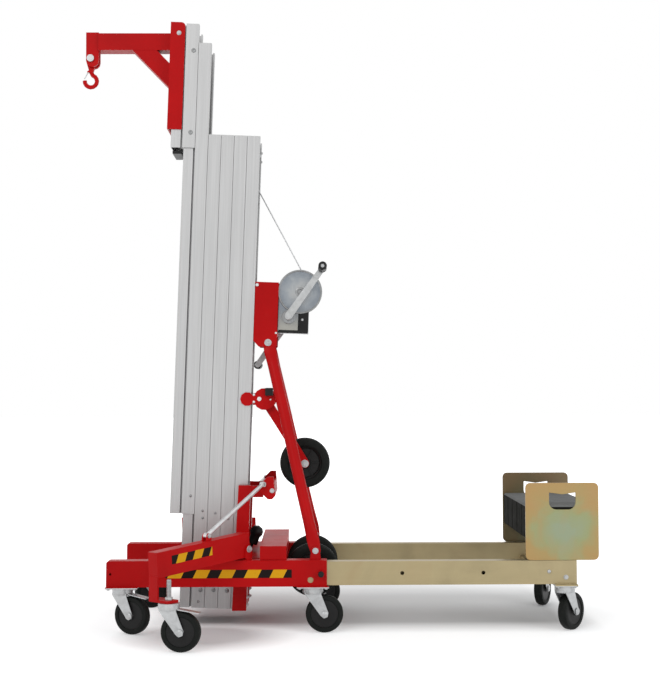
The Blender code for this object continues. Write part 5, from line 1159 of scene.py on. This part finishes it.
class STACKER_OT_stage(StackerOperator, bpy.types.Operator):
    """Pale floor, soft lamps and the camera"""

    bl_idname = "stacker.stage"
    bl_label = "Studio stage"

    floor_half = 30
    shade_start_x = (-0.66, -0.46)
    shade_end_x = (0.78, 0.92)
    shade_near_y = (-0.27, -0.06)
    shade_middle_y = (0.1, 0.5)
    shade_far_y = (0.5, 1.0)
    beside_centre = (-0.42, -0.30, 0)
    beside_reach = (0.27, 0.25, ENDLESS)

    def make(self):
        self.camera()
        self.floor()
        self.world()
        stage = bpy.context.scene.stacker_stage
        self.lamp("key_lamp", (-4.0, -7.0, 5.0), (-0.1, 0.0, 0.9), 4.0, stage.key_power)
        self.lamp("fill_lamp", (5.0, -6.0, 3.0), (0.2, 0.0, 0.6), 4.0, stage.fill_power)
        bpy.context.scene.view_settings.view_transform = "Standard"

    def camera(self):
        """Camera at the picture's viewing angle."""
        settings = bpy.context.scene.stacker_stage
        data = bpy.data.cameras.new("camera")
        data.lens = settings.lens
        data.sensor_width = 36.0
        data.clip_end = 100
        camera = bpy.data.objects.new("camera", data)
        camera.location = settings.camera_place
        camera.rotation_euler = settings.camera_turn
        bpy.context.scene.collection.objects.link(camera)
        bpy.context.scene.camera = camera

    def floor(self):
        """Wide floor that is lit by the lamps and glows to the camera, with shade painted on it."""
        work = bmesh.new()
        bmesh.ops.create_grid(work, x_segments=1, y_segments=1, size=self.floor_half)
        mesh = bpy.data.meshes.new("studio_floor")
        work.to_mesh(mesh)
        work.free()
        floor = bpy.data.objects.new("studio_floor", mesh)
        bpy.context.scene.collection.objects.link(floor)
        finish = Finish("studio_floor", 0.9)
        finish.sheen(0.0)
        tint = tuple(colours().floor)
        finish.colour(finish.ramp(finish.noise(3, 2), (0.0, shade(tint, 0.985)), (1.0, tint)))
        away = finish.distance((0, 0, 0), (1, 1, ENDLESS))
        lit = finish.combine(finish.spread(away, 0.52, 1.0, 0.8, 2.0), self.contact_shade(finish), "MULTIPLY")
        strength = finish.combine(finish.seen(), lit, "MULTIPLY")
        glow = finish.node("Emission", {"Color": (1, 1, 1, 1), "Strength": strength})
        both = finish.node("AddShader", {0: finish.shader.outputs["BSDF"], 1: glow.outputs["Emission"]})
        finish.feed(finish.nodes["Material Output"].inputs["Surface"], both.outputs["Shader"])
        mesh.materials.append(finish.material)

    def contact_shade(self, finish):
        """Share of the floor's glow, painted low between the rails and beside the near outrigger."""
        across = finish.axis("X")
        deep = finish.axis("Y")
        rails = finish.spread(across, 0, 1, *self.shade_start_x)
        for share in (finish.spread(across, 1, 0, *self.shade_end_x),
                      finish.spread(deep, 0, 1, *self.shade_near_y),
                      finish.spread(deep, 1, 0.75, *self.shade_middle_y),
                      finish.spread(deep, 1, 0, *self.shade_far_y)):
            rails = finish.combine(rails, share, "MULTIPLY")
        beside = finish.spread(finish.distance(self.beside_centre, self.beside_reach), 0.9, 0, 0.5, 1.15)
        return finish.combine(1.0, finish.combine(rails, beside, "MAXIMUM"), "SUBTRACT")

    def world(self):
        """Even room, white where it is seen and dimmer where it lights."""
        world = bpy.data.worlds.new("studio")
        world.use_nodes = True
        bpy.context.scene.world = world
        tree = NodeBuilder(world.node_tree)
        background = tree.nodes["Background"]
        tree.feed(background.inputs["Color"], (1, 1, 1, 1))
        strength = tree.spread(tree.seen(), bpy.context.scene.stacker_stage.sky, 1.0)
        tree.feed(background.inputs["Strength"], strength)

    def lamp(self, name, place, target, size, power):
        """Large square lamp aimed at a point."""
        data = bpy.data.lights.new(name, "AREA")
        data.shape = "SQUARE"
        data.size = size
        data.energy = power
        lamp = bpy.data.objects.new(name, data)
        lamp.location = place
        lamp.rotation_euler = (Vector(target) - Vector(place)).to_track_quat("-Z", "Y").to_euler()
        bpy.context.scene.collection.objects.link(lamp)


OPERATORS = (
    STACKER_OT_stage,
    STACKER_OT_weldments,
    STACKER_OT_mast,
    STACKER_OT_casters,
    STACKER_OT_wheels,
    STACKER_OT_struts,
    STACKER_OT_extension,
    STACKER_OT_counterweight,
    STACKER_OT_winch,
    STACKER_OT_rope,
    STACKER_OT_hook,
    STACKER_OT_outriggers,
    STACKER_OT_fasteners,
    STACKER_OT_tape,
)


class STACKER_PT_pieces(bpy.types.Panel):
    """Pieces and settings of the stacker"""

    bl_idname = "STACKER_PT_pieces"
    bl_label = "Stacker"
    bl_space_type = "VIEW_3D"
    bl_region_type = "UI"
    bl_category = "Stacker"

    def draw(self, context):
        for operator in OPERATORS:
            self.layout.operator(operator.bl_idname)
        for settings in (context.scene.stacker_colours, context.scene.stacker_sizes,
                         context.scene.stacker_stage):
            box = self.layout.box()
            for name in settings.__annotations__:
                box.prop(settings, name)


CLASSES = (StackerColours, StackerSizes, StackerStage, *OPERATORS, STACKER_PT_pieces)


def register():
    """Add the classes and the scene's settings."""
    for cls in CLASSES:
        bpy.utils.register_class(cls)
    bpy.types.Scene.stacker_colours = PointerProperty(type=StackerColours)
    bpy.types.Scene.stacker_sizes = PointerProperty(type=StackerSizes)
    bpy.types.Scene.stacker_stage = PointerProperty(type=StackerStage)


def unregister():
    """Remove the scene's settings and the classes."""
    del bpy.types.Scene.stacker_stage
    del bpy.types.Scene.stacker_sizes
    del bpy.types.Scene.stacker_colours
    for cls in reversed(CLASSES):
        bpy.utils.unregister_class(cls)


def main():
    """Register the classes, then make every piece."""
    register()
    for operator in OPERATORS:
        category, name = operator.bl_idname.split(".")
        getattr(getattr(bpy.ops, category), name)()


if __name__ == "__main__":
    main()
